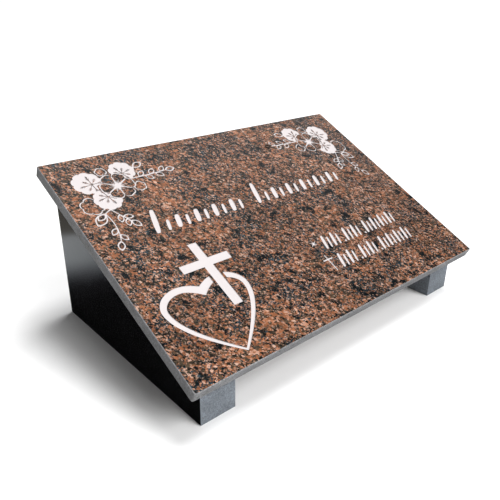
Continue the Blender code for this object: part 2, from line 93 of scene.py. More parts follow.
# Heart, its half outlines in shares of half its width and of its height, and cross
HEART_X = -0.2393
HEART_TIP = 0.0220
HEART_WIDTH = 0.1615
HEART_HEIGHT = 0.1405
HEART_BREAK = 0.0045
HEART_STEPS = 24
HEART_OUTER = (
    (0.0, 0.0),
    ((0.42, 0.20), (1.00, 0.50), (1.00, 0.757)),
    ((1.00, 0.892), (0.75, 1.00), (0.45, 1.00)),
    ((0.25, 1.00), (0.10, 0.950), (0.0, 0.917)),
)
HEART_INNER = (
    (0.0, 0.034),
    ((0.36, 0.225), (0.876, 0.52), (0.876, 0.745)),
    ((0.876, 0.840), (0.691, 0.917), (0.464, 0.917)),
    ((0.30, 0.917), (0.11, 0.840), (0.0, 0.781)),
)
CROSS_X = -0.1998
CROSS_FOOT = 0.0975
CROSS_HEIGHT = 0.1340
CROSS_SPAN = 0.0965
CROSS_POST = 0.0175
CROSS_ARM = 0.0160
CROSS_HEAD = 0.0355

# Rows of leaning strokes: x of the start, y of the foot, places in each group, pitch, gap between
# groups, height of the first stroke and of the rest, widths of the full and the thin stroke
TALL_ROW = (-0.2400, 0.2710, (5, 6), 0.0395, 0.0260, (0.0530, 0.0290), (0.0106, 0.0070))
SMALL_ROWS = (
    (0.0324, 0.1265, (2, 2, 4), 0.0242, 0.0110, (0.0310, 0.0310), (0.0073, 0.0053)),
    (0.0324, 0.0800, (2, 2, 4), 0.0242, 0.0110, (0.0310, 0.0310), (0.0073, 0.0053)),
)
STROKE_SLOPE = math.tan(math.radians(16.0))
FULL_PLACE = 0.28
THIN_PLACE = 0.74
THIN_HEIGHT = 0.80
STROKE_ROUND_POWER = 0.18
ROW_DOT = 0.0048
ROW_DOT_STEPS = 20
SIGN_X = 0.0144
STAR_SIZE = 0.0215
STAR_RAYS = 6
STAR_WAIST = 1 / 9
SMALL_CROSS_HEIGHT = 0.0370
SMALL_CROSS_SPAN = 0.0240
SMALL_CROSS_HEAD = 0.0090
SMALL_CROSS_LINE = 0.0028

# Flower sprays, drawn about the open flower of the left one
SPRAY_X = -0.2437
SPRAY_Y = 0.3958
RIGHT_SPRAY_SHIFT = 0.0105
FLOWER_RADIUS = 0.0330
FLOWER_PETALS = 6
FLOWER_EYE = 0.0052
# Full and open round leaves: place along and back, radius, and the way to the stalk in degrees
FULL_LEAVES = (
    (-0.0460, 0.0200, 0.0275, -40.0),
    (0.0255, 0.0325, 0.0245, -115.0),
    (-0.0325, -0.0260, 0.0250, 60.0),
)
OPEN_LEAVES = (
    (-0.0640, -0.0330, 0.0210, 35.0),
    (-0.0120, 0.0400, 0.0115, -75.0),
    (0.0370, -0.0120, 0.0125, 140.0),
)
# Sprigs: place along and back, heading and bend in degrees, length, leaves on the sides, share of
# the stem that is bare, and the side that the first leaf is on
SPRIGS = (
    (0.0335, 0.0095, 0.0, 4.0, 0.0700, 5, 0.20, 1),
    (-0.0533, -0.0548, -75.0, -40.0, 0.0640, 2, 0.56, -1),
    (-0.0403, -0.0488, -63.0, 6.0, 0.0380, 3, 0.44, -1),
    (-0.0393, -0.0483, -157.0, 8.0, 0.0155, 0, 1.0, 1),
)
# Leaves that stand alone: place along and back, heading in degrees, length
LOOSE_LEAVES = (
    (0.0490, 0.0350, 25.0, 0.0240),
    (-0.0533, -0.0548, -137.0, 0.0330),
)

# How the leaves and petals are drawn, as powers, shares of their own size and angles in radians
SCALLOP_POWER = 0.7
FULL_LEAF_SCALLOP = 0.10
OPEN_LEAF_SCALLOP = 0.16
CLEFT_ANGLE = 0.30
CLEFT_DEPTH = 0.42
PETAL_POWER = 0.55
PETAL_CUT = 0.26
PETAL_DIP = 0.02
PETAL_LINE_REACH = 0.72
PETAL_LINE_FLARE = 1.3
RAYS = ((0.50, 0.0), (0.36, 0.30), (0.36, -0.30))
RAY_TIP = 0.35
EYE_POINTS = 24
VEIN_START = 0.28
SHORT_VEIN = 0.62
LONG_VEIN_EXTRA = 0.20
VEIN_DRAWN_WIDTH = 0.055
STEM_FOOT = 0.03
STEM_WIDTHS = (0.050, 0.026)
TWIG_WIDTHS = (0.032, 0.020)
TWIGS = ((0.46, 0.32), (0.70, 0.24))
TWIG_ANGLE = 0.45
LENS_POINTS = 29
LENS_POWER = 0.8
LENS_TIP_INSET = 1.6
SPRIG_POINTS = 17
SPRIG_STEM_FOOT = 1.1
SPRIG_STEM_TAPER = 0.3
SPRIG_LEAF_SIZE = 0.94
SPRIG_LEAF_SHRINK = 0.12
SPRIG_TIP_LEAF_EXTRA = 0.18

# Wedge supports
SUPPORT_WIDTH = 0.065
SUPPORT_SIDE_INSET = 0.028
SUPPORT_FRONT_INSET = 0.020
SUPPORT_BACK_INSET = 0.002

# The slab's low front edge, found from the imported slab's box
FRONT_Y = slab_low[1] + (SLAB_THICKNESS - CAD_ARRIS) * math.sin(SLAB_TILT)
FRONT_Z = slab_low[2] - CAD_ARRIS * math.sin(SLAB_TILT)
SEAT = Matrix.Translation((0.0, FRONT_Y, FRONT_Z)) @ Matrix.Rotation(SLAB_TILT, 4, "X")

# Ranges that the values of the shared patterns keep to, and the patterns' own proportions
NOISE_SPAN = (0.25, 0.75)
BROAD_SPAN = (0.30, 0.70)
SMEAR_SPAN = (0.35, 0.70)
GRAIN_RIPPLE = 1.1
MOTTLE_FINENESS = 1.6
PIT_SIZE_POWER = 3.0
SMEAR_SCALE = 9.0
DUST_SCALE = 900.0

# Polished granite: sizes of its grains and flakes and of their clusters, and how the pattern drifts
GRAIN_SIZE = 0.0035
FLAKE_SIZE = 0.0017
CLUSTER_SIZE = 0.042
DRIFT_TURN = math.radians(-40.0)
DRIFT_STRETCH = (1.25, 1.0, 1.0)
# Colours along the grains' own value: place, setting, and how much of its colour
GRAIN_COLOURS = (
    (0.00, "olive_colour", 0.35),
    (0.30, "olive_colour", 1.00),
    (0.52, "feldspar_colour", 1.00),
    (0.84, "feldspar_colour", 1.40),
    (1.00, "quartz_colour", 1.00),
)
PALE_FLAKES = (0.86, 0.90)
PALE_FLAKE_STRENGTH = 0.60
CLUSTER_SPAN = (0.38, 0.62)
DARK_FLAKE_SHARE = (0.06, 0.60)
DARK_FLAKE_STRENGTH = 0.90
PALE_MICA_GAIN = 4.0
PALE_MICA_LIFT = 0.012
BLOTCH_SCALE = 44.0
BLOTCH_SPAN = (0.556, 0.582)
BLOTCH_STRENGTH = 0.97
GRAIN_SHADE = (0.70, 1.30)
BROAD_SCALE = 9.0
BROAD_SHADE = (0.76, 1.20)
POLISH_ROUGHNESS = (0.05, 0.085)
DARK_FLAKE_DULLNESS = 0.01

# Sawn stone: sizes of its pattern, how much its flakes and clusters shade it, how much painted shade
# darkens its pits, and its relief
SAWN_GRAIN_SIZE = 0.0034
SAWN_FLAKE_SIZE = 0.0014
SAWN_CLUSTER_SIZE = 0.03
SAWN_SHADES = ((0.00, -0.75), (0.30, -0.25), (0.70, 0.10), (1.00, 0.75))
SAWN_CLUSTER_SHADE = (-0.25, 0.20)
SAWN_MOTTLE_SHADE = (0.86, 1.14)
SAWN_ROUGHNESS_SWING = 0.06
PIT_SPACING = 0.007
PIT_PAINTED_SHADE = 0.70
PIT_DEPTH = 3.0

# Polished black stone: its pattern, its glints and how dull it is
BLACK_GRAIN_SIZE = 0.0040
BLACK_FLAKE_SIZE = 0.0016
GLINTS = (0.90, 0.98)
GLINT_STRENGTH = 0.6
GLINT_GAIN = 6.0
BLACK_SHADE = (0.75, 1.25)
BLACK_ROUGHNESS = (0.05, 0.10)
DUST_DULLNESS = 0.02

# Paint in the engraving: how dust and smears shade it, and how dull it is
PAINT_DUST_SHADE = (0.95, 1.0)
PAINT_SMEAR_SHADE = (1.0, 0.97)
PAINT_ROUGHNESS = (0.50, 0.62)

# Studio: lamps by setting, spread in degrees and the way they shine; then what the gloss shows, as
# places between 40 degrees below the horizon and the horizon itself, with their colours
WHITE = (1.0, 1.0, 1.0, 1.0)
LAMPS = (
    ("top_light", 28.0, (-0.33, 0.04, -1.0)),
    ("front_light", 40.0, (-0.25, 0.75, -0.65)),
)
GLOSS_LOWEST = -40.0
GLOSS_COLOURS = (
    (0.275, (0.003, 0.003, 0.003)),
    (0.3125, (0.009, 0.009, 0.010)),
    (0.3325, (0.055, 0.058, 0.063)),
    (0.3525, (0.185, 0.196, 0.208)),
    (0.370, (0.315, 0.333, 0.345)),
    (0.431, (0.375, 0.390, 0.400)),
    (0.438, (0.100, 0.093, 0.080)),
    (1.00, (0.030, 0.030, 0.030)),
)
GLOSS_STRENGTH = 3.0
WINDOW_REACH = 0.35
WINDOW_RISE = 0.2
WINDOW_STRENGTH = 20.0
ROOM_FACING = (0.6, -0.8, 0.0)
ROOM_SPAN = (-0.3, 0.8)
ROOM_LIGHT = (0.30, 5.6)
BACKDROP_STRENGTH = 1.05
FLOOR_HALF_WIDTH = 12.0
FLOOR_SHADE = (0.99, 1.0)

# Camera: place, and the directions of its right, its top and its view
CAMERA_PLACE = (-0.68446, -0.69789, 0.56967)
CAMERA_RIGHT = (0.749026, -0.662429, 0.012178)
CAMERA_UP = (0.272994, 0.325325, 0.905338)
CAMERA_VIEW = (0.603684, 0.674797, -0.424516)
CAMERA_LENS = 40.373


# Node trees


class Amount:
    """An output in a node tree that plain arithmetic works on."""

    def __init__(self, nodes, socket):
        self.nodes = nodes
        self.socket = socket

    def __add__(self, other):
        return self.nodes.math("ADD", self, other)

    def __radd__(self, other):
        return self.nodes.math("ADD", other, self)

    def __sub__(self, other):
        return self.nodes.math("SUBTRACT", self, other)

    def __rsub__(self, other):
        return self.nodes.math("SUBTRACT", other, self)

    def __mul__(self, other):
        return self.nodes.math("MULTIPLY", self, other)

    def __rmul__(self, other):
        return self.nodes.math("MULTIPLY", other, self)

    def __truediv__(self, other):
        return self.nodes.math("DIVIDE", self, other)

    def __rtruediv__(self, other):
        return self.nodes.math("DIVIDE", other, self)

    def __pow__(self, other):
        return self.nodes.math("POWER", self, other)


class Nodes:
    """Adds nodes to one tree and links them."""

    def __init__(self, tree):
        self.tree = tree

    def add(self, kind, inputs=None, **settings):
        """Add a node with its settings, and link or set its inputs."""
        node = self.tree.nodes.new(kind)
        for name, value in settings.items():
            setattr(node, name, value)
        for place, value in (inputs or {}).items():
            self.feed(node.inputs[place], value)
        return node

    def feed(self, socket, value):
        """Link what feeds a socket, or set its value; a list links each of its items."""
        for item in value if isinstance(value, list) else [value]:
            if isinstance(item, Amount):
                self.tree.links.new(item.socket, socket)
            else:
                socket.default_value = item

    def get(self, kind, inputs=None, output=0, **settings):
        """Add a node and return one of its outputs."""
        return Amount(self, self.add(kind, inputs, **settings).outputs[output])

    def math(self, operation, *terms):
        """Add a Math node."""
        return self.get("ShaderNodeMath", dict(enumerate(terms)), operation=operation)

    def vector(self, x, y, z):
        """Make a vector of three numbers, any of which may vary."""
        return self.get("ShaderNodeCombineXYZ", {0: x, 1: y, 2: z})

    def vector_math(self, operation, inputs):
        """Add a Vector Math node."""
        return self.get("ShaderNodeVectorMath", inputs, operation=operation)

    def inputs(self):
        """The tree's own inputs by name."""
        node = self.tree.nodes.new("NodeGroupInput")
        return {socket.name: Amount(self, socket) for socket in node.outputs if socket.name}


# Geometry Nodes trees of the engraved shapes: each makes solids that are then cut out of the slab


def form_tree(name, sizes):
    """Start a Geometry Nodes tree with these named sizes, a low and a high level, and a material."""
    tree = bpy.data.node_groups.new(name, "GeometryNodeTree")
    tree.interface.new_socket("Geometry", in_out="OUTPUT", socket_type="NodeSocketGeometry")
    for title, value in {**sizes, "Low": 0.0, "High": 0.001}.items():
        kind = "NodeSocketInt" if isinstance(value, int) else "NodeSocketFloat"
        tree.interface.new_socket(title, in_out="INPUT", socket_type=kind).default_value = value
    tree.interface.new_socket("Material", in_out="INPUT", socket_type="NodeSocketMaterial")
    nodes = Nodes(tree)
    return nodes, nodes.inputs()


def end_tree(nodes, given, shapes):
    """Join shapes, make their instances real and give them the tree's material."""
    joined = nodes.get("GeometryNodeJoinGeometry", {0: shapes})
    real = nodes.get("GeometryNodeRealizeInstances", {0: joined})
    finished = nodes.get("GeometryNodeSetMaterial", {"Geometry": real, "Material": given["Material"]})
    nodes.add("NodeGroupOutput", {"Geometry": finished})
    return nodes.tree


def thickened(nodes, given, flat):
    """Close a flat shape into a solid between the tree's low and high levels."""
    lift = nodes.vector(0.0, 0.0, given["Low"])
    lowered = nodes.get("GeometryNodeSetPosition", {"Geometry": flat, "Offset": lift})
    rise = nodes.vector(0.0, 0.0, given["High"] - given["Low"])
    raised = nodes.get(
        "GeometryNodeExtrudeMesh",
        {"Mesh": lowered, "Offset": rise, "Offset Scale": 1.0, "Individual": False},
    )
    under = nodes.get("GeometryNodeFlipFaces", {"Mesh": lowered})
    joined = nodes.get("GeometryNodeJoinGeometry", {"Geometry": [raised, under]})
    return nodes.get("GeometryNodeMergeByDistance", {"Geometry": joined, "Distance": MERGE_DISTANCE})


def moved(nodes, flat, x, y):
    """Put each point of a flat shape at (x, y), and join a band's two ends where they meet."""
    placed = nodes.get("GeometryNodeSetPosition", {"Geometry": flat, "Position": nodes.vector(x, y, 0.0)})
    return nodes.get("GeometryNodeMergeByDistance", {"Geometry": placed, "Distance": MERGE_DISTANCE})


def spun(nodes, flat, reach, turn):
    """Put each point of a flat shape at its reach from the centre and at its angle."""
    return moved(nodes, flat, reach * nodes.math("COSINE", turn), reach * nodes.math("SINE", turn))


def round_shape(nodes, points):
    """A filled round of points, with each point's angle."""
    flat = nodes.get(
        "GeometryNodeMeshCircle", {"Vertices": points, "Radius": 1.0}, output="Mesh", fill_type="NGON"
    )
    return flat, nodes.get("GeometryNodeInputIndex") * (2 * math.pi) / points


def band_shape(nodes, points):
    """A strip of squares, with each point's share along it and its share across it."""
    flat = nodes.get(
        "GeometryNodeMeshGrid",
        {"Size X": 1.0, "Size Y": 1.0, "Vertices X": points, "Vertices Y": 2}, output="Mesh",
    )
    place = nodes.add("ShaderNodeSeparateXYZ", {0: nodes.get("GeometryNodeInputPosition")})
    return flat, Amount(nodes, place.outputs["X"]) + 0.5, Amount(nodes, place.outputs["Y"]) + 0.5


def stroke_row_tree():
    """Row of leaning strokes, a full one and a thin one at each place."""
    nodes, given = form_tree("Stroke row", {
        "Places": 5, "Pitch": 0.04, "First height": 0.05, "Height": 0.03, "Width": 0.007,
        "Thin width": 0.005, "Slope": STROKE_SLOPE, "Points": 28,
    })

    def leaning(height, width):
        flat, turn = round_shape(nodes, given["Points"])
        share = 0.5 - nodes.math("COSINE", turn) * 0.5
        side = nodes.math("SIGN", nodes.math("SINE", turn))
        round_off = nodes.math("ABSOLUTE", nodes.math("SINE", share * math.pi)) ** STROKE_ROUND_POWER
        x = (share - 0.5) * height * given["Slope"] + side * (round_off * width * 0.5)
        return thickened(nodes, given, moved(nodes, flat, x, share * height))

    first = nodes.math("LESS_THAN", nodes.get("GeometryNodeInputIndex"), 0.5)
    rest = 1.0 - first
    thin = leaning(given["Height"] * THIN_HEIGHT, given["Thin width"])
    rows = []
    for place, shape, chosen in (
        (FULL_PLACE, leaning(given["First height"], given["Width"]), first),
        (FULL_PLACE, leaning(given["Height"], given["Width"]), rest),
        (THIN_PLACE, thin, None),
    ):
        line = nodes.get("GeometryNodeMeshLine", {
            "Count": given["Places"], "Start Location": nodes.vector(given["Pitch"] * place, 0.0, 0.0),
            "Offset": nodes.vector(given["Pitch"], 0.0, 0.0),
        })
        inputs = {"Points": line, "Instance": shape}
        if chosen is not None:
            inputs["Selection"] = chosen
        rows.append(nodes.get("GeometryNodeInstanceOnPoints", inputs))
    return end_tree(nodes, given, rows)


def scalloped_reach(nodes, turn, radius, scallops, rise):
    """Radius of a scalloped round leaf whose stalk joins at angle 0, with a cleft there."""
    away = nodes.math("MINIMUM", turn, 2 * math.pi - turn)
    wave = nodes.math("ABSOLUTE", nodes.math("COSINE", turn * scallops * 0.5)) ** SCALLOP_POWER
    cleft = nodes.math("EXPONENT", (away / CLEFT_ANGLE) ** 2.0 * -1.0) * CLEFT_DEPTH
    return radius * (wave * rise + (1.0 - rise) - cleft)


def full_leaf_tree():
    """Scalloped round leaf, whole."""
    nodes, given = form_tree("Full leaf", {"Radius": 0.025, "Scallops": 9, "Points": 108})
    flat, turn = round_shape(nodes, given["Points"])
    reach = scalloped_reach(nodes, turn, given["Radius"], given["Scallops"], FULL_LEAF_SCALLOP)
    shape = spun(nodes, flat, reach, turn)
    return end_tree(nodes, given, [thickened(nodes, given, shape)])


def open_leaf_tree():
    """Scalloped round leaf, only its line."""
    nodes, given = form_tree("Open leaf", {"Radius": 0.019, "Scallops": 6, "Line": 0.0013, "Points": 73})
    flat, along, across = band_shape(nodes, given["Points"])
    turn = along * (2 * math.pi)
    radius = given["Radius"] - given["Line"] * across
    reach = scalloped_reach(nodes, turn, radius, given["Scallops"], OPEN_LEAF_SCALLOP)
    shape = spun(nodes, flat, reach, turn)
    return end_tree(nodes, given, [thickened(nodes, given, shape)])


def petal_reach(nodes, turn, radius, petals):
    """Radius of the flower's wavy rim: deep between the petals, with a shallow dip on each."""
    wave = nodes.math("ABSOLUTE", nodes.math("COSINE", turn * petals * 0.5)) ** PETAL_POWER
    dip = 1.0 - nodes.math("COSINE", turn * petals * 2.0) * PETAL_DIP
    return radius * (wave * PETAL_CUT + (1.0 - PETAL_CUT)) * dip


def flower_outline_tree():
    """The whole open flower, filled, to keep what lies behind it clear of it."""
    nodes, given = form_tree("Flower outline", {"Radius": 0.033, "Petals": 6, "Points": 120})
    flat, turn = round_shape(nodes, given["Points"])
    reach = petal_reach(nodes, turn, given["Radius"], given["Petals"])
    shape = spun(nodes, flat, reach, turn)
    return end_tree(nodes, given, [thickened(nodes, given, shape)])


def tapered_bar(nodes, given, start, length, wide, narrow):
    """Slim flat bar along X that narrows towards its far end."""
    flat, along, across = band_shape(nodes, 2)
    width = wide + (narrow - wide) * along
    return thickened(nodes, given, moved(nodes, flat, start + length * along, (across - 0.5) * width))


def ring_of(nodes, shape, count, first, spread):
    """Copies of a shape about the centre, spread by an angle from the first one's."""
    points = nodes.get("GeometryNodePoints", {"Count": count})
    turn = nodes.get("GeometryNodeInputIndex") * spread + first
    return nodes.get(
        "GeometryNodeInstanceOnPoints",
        {"Points": points, "Instance": shape, "Rotation": nodes.vector(0.0, 0.0, turn)},
    )


def flower_tree():
    """Open flower: its rim, the lines between the petals, the eye and fine rays round it."""
    nodes, given = form_tree("Open flower", {
        "Radius": 0.033, "Petals": 6, "Eye": 0.005, "Line": 0.0013, "Points": 145,
    })
    flat, along, across = band_shape(nodes, given["Points"])
    turn = along * (2 * math.pi)
    reach = petal_reach(nodes, turn, given["Radius"], given["Petals"]) - given["Line"] * across
    rim = spun(nodes, flat, reach, turn)
    petal_turn = 2 * math.pi / given["Petals"]
    start = given["Eye"] * 0.5
    line = tapered_bar(
        nodes, given, start, given["Radius"] * PETAL_LINE_REACH - start,
        given["Line"] * PETAL_LINE_FLARE, given["Line"],
    )
    lines = ring_of(nodes, line, given["Petals"], petal_turn * 0.5, petal_turn)
    eye_flat, eye_turn = round_shape(nodes, EYE_POINTS)
    eye = spun(nodes, eye_flat, given["Eye"], eye_turn)
    shapes = [thickened(nodes, given, rim), lines, thickened(nodes, given, eye)]
    for share, spread in RAYS:
        length = given["Radius"] * share - start
        ray = tapered_bar(nodes, given, start, length, given["Line"], given["Line"] * RAY_TIP)
        shapes.append(ring_of(nodes, ray, given["Petals"], spread, petal_turn))
    return end_tree(nodes, given, shapes)


def vein_tree():
    """Fan of veins from a leaf's foot, long and short by turns, each with side veins."""
    nodes, given = form_tree("Leaf veins", {"Radius": 0.025, "Veins": 7, "Width": 0.0013})
    spread = 2 * math.pi / (given["Veins"] + 1)
    number = nodes.get("GeometryNodeInputIndex")
    long_one = 1.0 - nodes.math("MODULO", number, 2.0)
    size = given["Radius"] * (long_one * LONG_VEIN_EXTRA + SHORT_VEIN)
    twig = tapered_bar(nodes, given, 0.0, 1.0, *TWIG_WIDTHS)
    parts = [tapered_bar(nodes, given, -STEM_FOOT, 1.0 + STEM_FOOT, *STEM_WIDTHS)]
    for base, length in TWIGS:
        for side in (-1.0, 1.0):
            point = nodes.get("GeometryNodePoints", {"Count": 1, "Position": (base, 0.0, 0.0)})
            parts.append(nodes.get("GeometryNodeInstanceOnPoints", {
                "Points": point, "Instance": twig,
                "Rotation": nodes.vector(0.0, 0.0, side * TWIG_ANGLE),
                "Scale": nodes.vector(length, 1.0, 1.0),
            }))
    vein = nodes.get("GeometryNodeJoinGeometry", {0: parts})
    points = nodes.get("GeometryNodePoints", {"Count": given["Veins"]})
    fan = nodes.get("GeometryNodeInstanceOnPoints", {
        "Points": points, "Instance": vein, "Rotation": nodes.vector(0.0, 0.0, (number + 1.0) * spread),
        "Scale": nodes.vector(size, given["Width"] / VEIN_DRAWN_WIDTH, 1.0),
    })
    return end_tree(nodes, given, [fan])


def arc_place(nodes, share, length, bend):
    """Point and heading at a share of an arc that starts along X and turns by bend."""
    turn = bend * share
    x = nodes.math("SINE", turn) * length / bend
    y = (1.0 - nodes.math("COSINE", turn)) * length / bend
    return x, y, turn


def lens_line(nodes, given, length, fatness, line):
    """Leaf as a line: pointed at both ends and widest in the middle, along X from the origin."""
    flat, along, across = band_shape(nodes, LENS_POINTS)
    turn = along * (2 * math.pi)
    share = 0.5 - nodes.math("COSINE", turn) * 0.5
    side = nodes.math("SIGN", nodes.math("SINE", turn))
    belly = nodes.math("ABSOLUTE", nodes.math("SINE", share * math.pi)) ** LENS_POWER * side * 0.5
    inset = line * across
    x = inset * LENS_TIP_INSET + (length - inset * (2 * LENS_TIP_INSET)) * share
    y = belly * (length * fatness - inset * 2.0)
    return thickened(nodes, given, moved(nodes, flat, x, y))


def sprig_tree():
    """Bent stem with leaves by turns on its two sides past its bare share, and one at its tip."""
    nodes, given = form_tree("Sprig", {
        "Length": 0.07, "Bend": 0.1, "Leaves": 6, "Bare": 0.14, "First side": 1, "Leaf": 0.0215,
        "Fatness": 0.60, "Spread": math.radians(42.0), "Line": 0.0013,
    })
    flat, along, across = band_shape(nodes, SPRIG_POINTS)
    x, y, turn = arc_place(nodes, along, given["Length"], given["Bend"])
    off = (across - 0.5) * given["Line"] * (SPRIG_STEM_FOOT - SPRIG_STEM_TAPER * along)
    x = x - off * nodes.math("SINE", turn)
    y = y + off * nodes.math("COSINE", turn)
    stem = thickened(nodes, given, moved(nodes, flat, x, y))
    number = nodes.get("GeometryNodeInputIndex")
    last = nodes.math("GREATER_THAN", number, given["Leaves"] - 0.5)
    share = given["Bare"] + (1.0 - given["Bare"]) * number / given["Leaves"]
    side = (1.0 - nodes.math("MODULO", number, 2.0) * 2.0) * (1.0 - last) * given["First side"]
    x, y, turn = arc_place(nodes, share, given["Length"], given["Bend"])
    size = SPRIG_LEAF_SIZE - SPRIG_LEAF_SHRINK * share + SPRIG_TIP_LEAF_EXTRA * last
    points = nodes.get("GeometryNodePoints", {
        "Count": given["Leaves"] + 1.0, "Position": nodes.vector(x, y, 0.0),
    })
    leaf = lens_line(nodes, given, given["Leaf"], given["Fatness"], given["Line"])
    leaves = nodes.get("GeometryNodeInstanceOnPoints", {
        "Points": points, "Instance": leaf,
        "Rotation": nodes.vector(0.0, 0.0, turn + side * given["Spread"]),
        "Scale": nodes.vector(size, size, 1.0),
    })
    return end_tree(nodes, given, [stem, leaves])


def loose_leaf_tree():
    """One leaf of a sprig, drawn as a line."""
    nodes, given = form_tree("Loose leaf", {"Length": 0.027, "Fatness": 0.60, "Line": 0.0013})
    leaf = lens_line(nodes, given, given["Length"], given["Fatness"], given["Line"])
    return end_tree(nodes, given, [leaf])


def plate_tree():
    """Flat plate with round corners, its front edge on the X axis."""
    nodes, given = form_tree("Rounded plate", {
        "Length": 0.7, "Depth": 0.48, "Corner": 0.0025, "Corner steps": CORNER_STEPS,
    })
    border = nodes.get(
        "GeometryNodeCurvePrimitiveQuadrilateral", {"Width": given["Length"], "Height": given["Depth"]},
        mode="RECTANGLE",
    )
    eased = nodes.get(
        "GeometryNodeFilletCurve",
        {"Curve": border, "Count": given["Corner steps"], "Radius": given["Corner"]}, mode="POLY",
    )
    flat = nodes.get("GeometryNodeFillCurve", {"Curve": eased}, mode="NGONS")
    shift = nodes.vector(0.0, given["Depth"] * 0.5, 0.0)
    placed = nodes.get("GeometryNodeSetPosition", {"Geometry": flat, "Offset": shift})
    return end_tree(nodes, given, [thickened(nodes, given, placed)])


def wedge_tree():
    """Wedge drawn by its side profile, from the low front to the high back."""
    nodes, given = form_tree("Wedge", {"Run": 0.4, "Front height": 0.08, "Back height": 0.27})
    profile = nodes.get(
        "GeometryNodeCurvePrimitiveQuadrilateral",
        {
            "Point 1": (0.0, 0.0, 0.0), "Point 2": nodes.vector(given["Run"], 0.0, 0.0),
            "Point 3": nodes.vector(given["Run"], given["Back height"], 0.0),
            "Point 4": nodes.vector(0.0, given["Front height"], 0.0),
        },
        mode="POINTS",
    )
    flat = nodes.get("GeometryNodeFillCurve", {"Curve": profile}, mode="NGONS")
    return end_tree(nodes, given, [thickened(nodes, given, flat)])


# Meshes


def new_collection(name):
    """Make a collection under the scene's own one."""
    collection = bpy.data.collections.new(name)
    bpy.context.scene.collection.children.link(collection)
    return collection


def settled(holder):
    """Turn an object's evaluated form into its own plain mesh, and drop its modifiers."""
    bpy.context.view_layer.update()
    evaluated = holder.evaluated_get(bpy.context.evaluated_depsgraph_get())
    mesh = bpy.data.meshes.new_from_object(evaluated)
    holder.modifiers.clear()
    holder.data = mesh


def tidied(mesh, place):
    """Put a mesh in its place, weld it and turn its faces outwards."""
    mesh.transform(place)
    work = bmesh.new()
    work.from_mesh(mesh)
    bmesh.ops.remove_doubles(work, verts=work.verts, dist=MERGE_DISTANCE)
    bmesh.ops.recalc_face_normals(work, faces=work.faces)
    work.to_mesh(mesh)
    work.free()


def grown(name, tree, collection, sizes, place=Matrix()):
    """Run a tree with these sizes and keep what it makes as a plain mesh in its place."""
    holder = bpy.data.objects.new(name, bpy.data.meshes.new(name))
    collection.objects.link(holder)
    modifier = holder.modifiers.new("form", "NODES")
    modifier.node_group = tree
    places = {
        item.name: item.identifier for item in tree.interface.items_tree
        if item.item_type == "SOCKET" and item.in_out == "INPUT"
    }
    for title, value in sizes.items():
        modifier[places[title]] = value
    settled(holder)
    holder.data.name = name
    tidied(holder.data, place)
    if not holder.data.polygons:
        raise RuntimeError("the tree made nothing for " + name)
    return holder


def outlined(name, loops, low, high, material, collection):
    """Make a solid from flat loops, from height low to height high."""
    curve = bpy.data.curves.new(name, "CURVE")
    curve.dimensions = "2D"
    curve.fill_mode = "BOTH"
    curve.extrude = (high - low) / 2
    for loop in loops:
        spline = curve.splines.new("POLY")
        spline.points.add(len(loop) - 1)
        for point, (x, y) in zip(spline.points, loop):
            point.co = (x, y, 0.0, 1.0)
        spline.use_cyclic_u = True
    drawn = bpy.data.objects.new(name, curve)
    collection.objects.link(drawn)
    bpy.context.view_layer.update()
    evaluated = drawn.evaluated_get(bpy.context.evaluated_depsgraph_get())
    mesh = bpy.data.meshes.new_from_object(evaluated)
    bpy.data.objects.remove(drawn, do_unlink=True)
    tidied(mesh, Matrix.Translation((0.0, 0.0, (high + low) / 2)))
    mesh.materials.clear()
    mesh.materials.append(material)
    solid = bpy.data.objects.new(name, mesh)
    collection.objects.link(solid)
    return solid


def volume_of(mesh):
    """Volume inside a closed mesh."""
    work = bmesh.new()
    work.from_mesh(mesh)
    volume = work.calc_volume(signed=True)
    work.free()
    return volume


def parted(solid):
    """Meshes of a solid's separate bodies, which may overlap each other, without its crumbs."""
    work = bmesh.new()
    work.from_mesh(solid.data)
    seen = set()
    meshes = []
    for first in work.verts:
        if first in seen:
            continue
        seen.add(first)
        body = [first]
        for point in body:
            for edge in point.link_edges:
                other = edge.other_vert(point)
                if other not in seen:
                    seen.add(other)
                    body.append(other)
        places = {point: number for number, point in enumerate(body)}
        faces = [face for face in work.faces if face.verts[0] in places]
        corners = [[places[point] for point in face.verts] for face in faces]
        mesh = bpy.data.meshes.new(solid.name)
        mesh.from_pydata([point.co for point in body], [], corners)
        if volume_of(mesh) > LEAST_VOLUME:
            meshes.append(mesh)
    work.free()
    return meshes


def cut_by(solid, cutters, collection):
    """Take cutters out of a solid, each of their bodies by itself."""
    group = bpy.data.collections.new(solid.name + "_cutters")
    collection.children.link(group)
    for cutter in cutters:
        for mesh in parted(cutter):
            group.objects.link(bpy.data.objects.new(mesh.name, mesh))
    boolean = solid.modifiers.new("cut", "BOOLEAN")
    boolean.operation = "DIFFERENCE"
    boolean.solver = "MANIFOLD"
    boolean.operand_type = "COLLECTION"
    boolean.collection = group
    settled(solid)
    removed(list(group.objects))
    bpy.data.collections.remove(group)


def removed(items):
    """Remove working objects."""
    for item in items:
        bpy.data.objects.remove(item, do_unlink=True)


# Flat shapes drawn point by point


def cross_shape(x, foot, height, span, post, arm, head):
    """Latin cross with its post centred on x and standing on y = foot."""
    top = foot + height
    arm_high = top - head
    arm_low = arm_high - arm
    return [
        (x - post / 2, foot), (x + post / 2, foot),
        (x + post / 2, arm_low), (x + span / 2, arm_low),
        (x + span / 2, arm_high), (x + post / 2, arm_high),
        (x + post / 2, top), (x - post / 2, top),
        (x - post / 2, arm_high), (x - span / 2, arm_high),
        (x - span / 2, arm_low), (x - post / 2, arm_low),
    ]


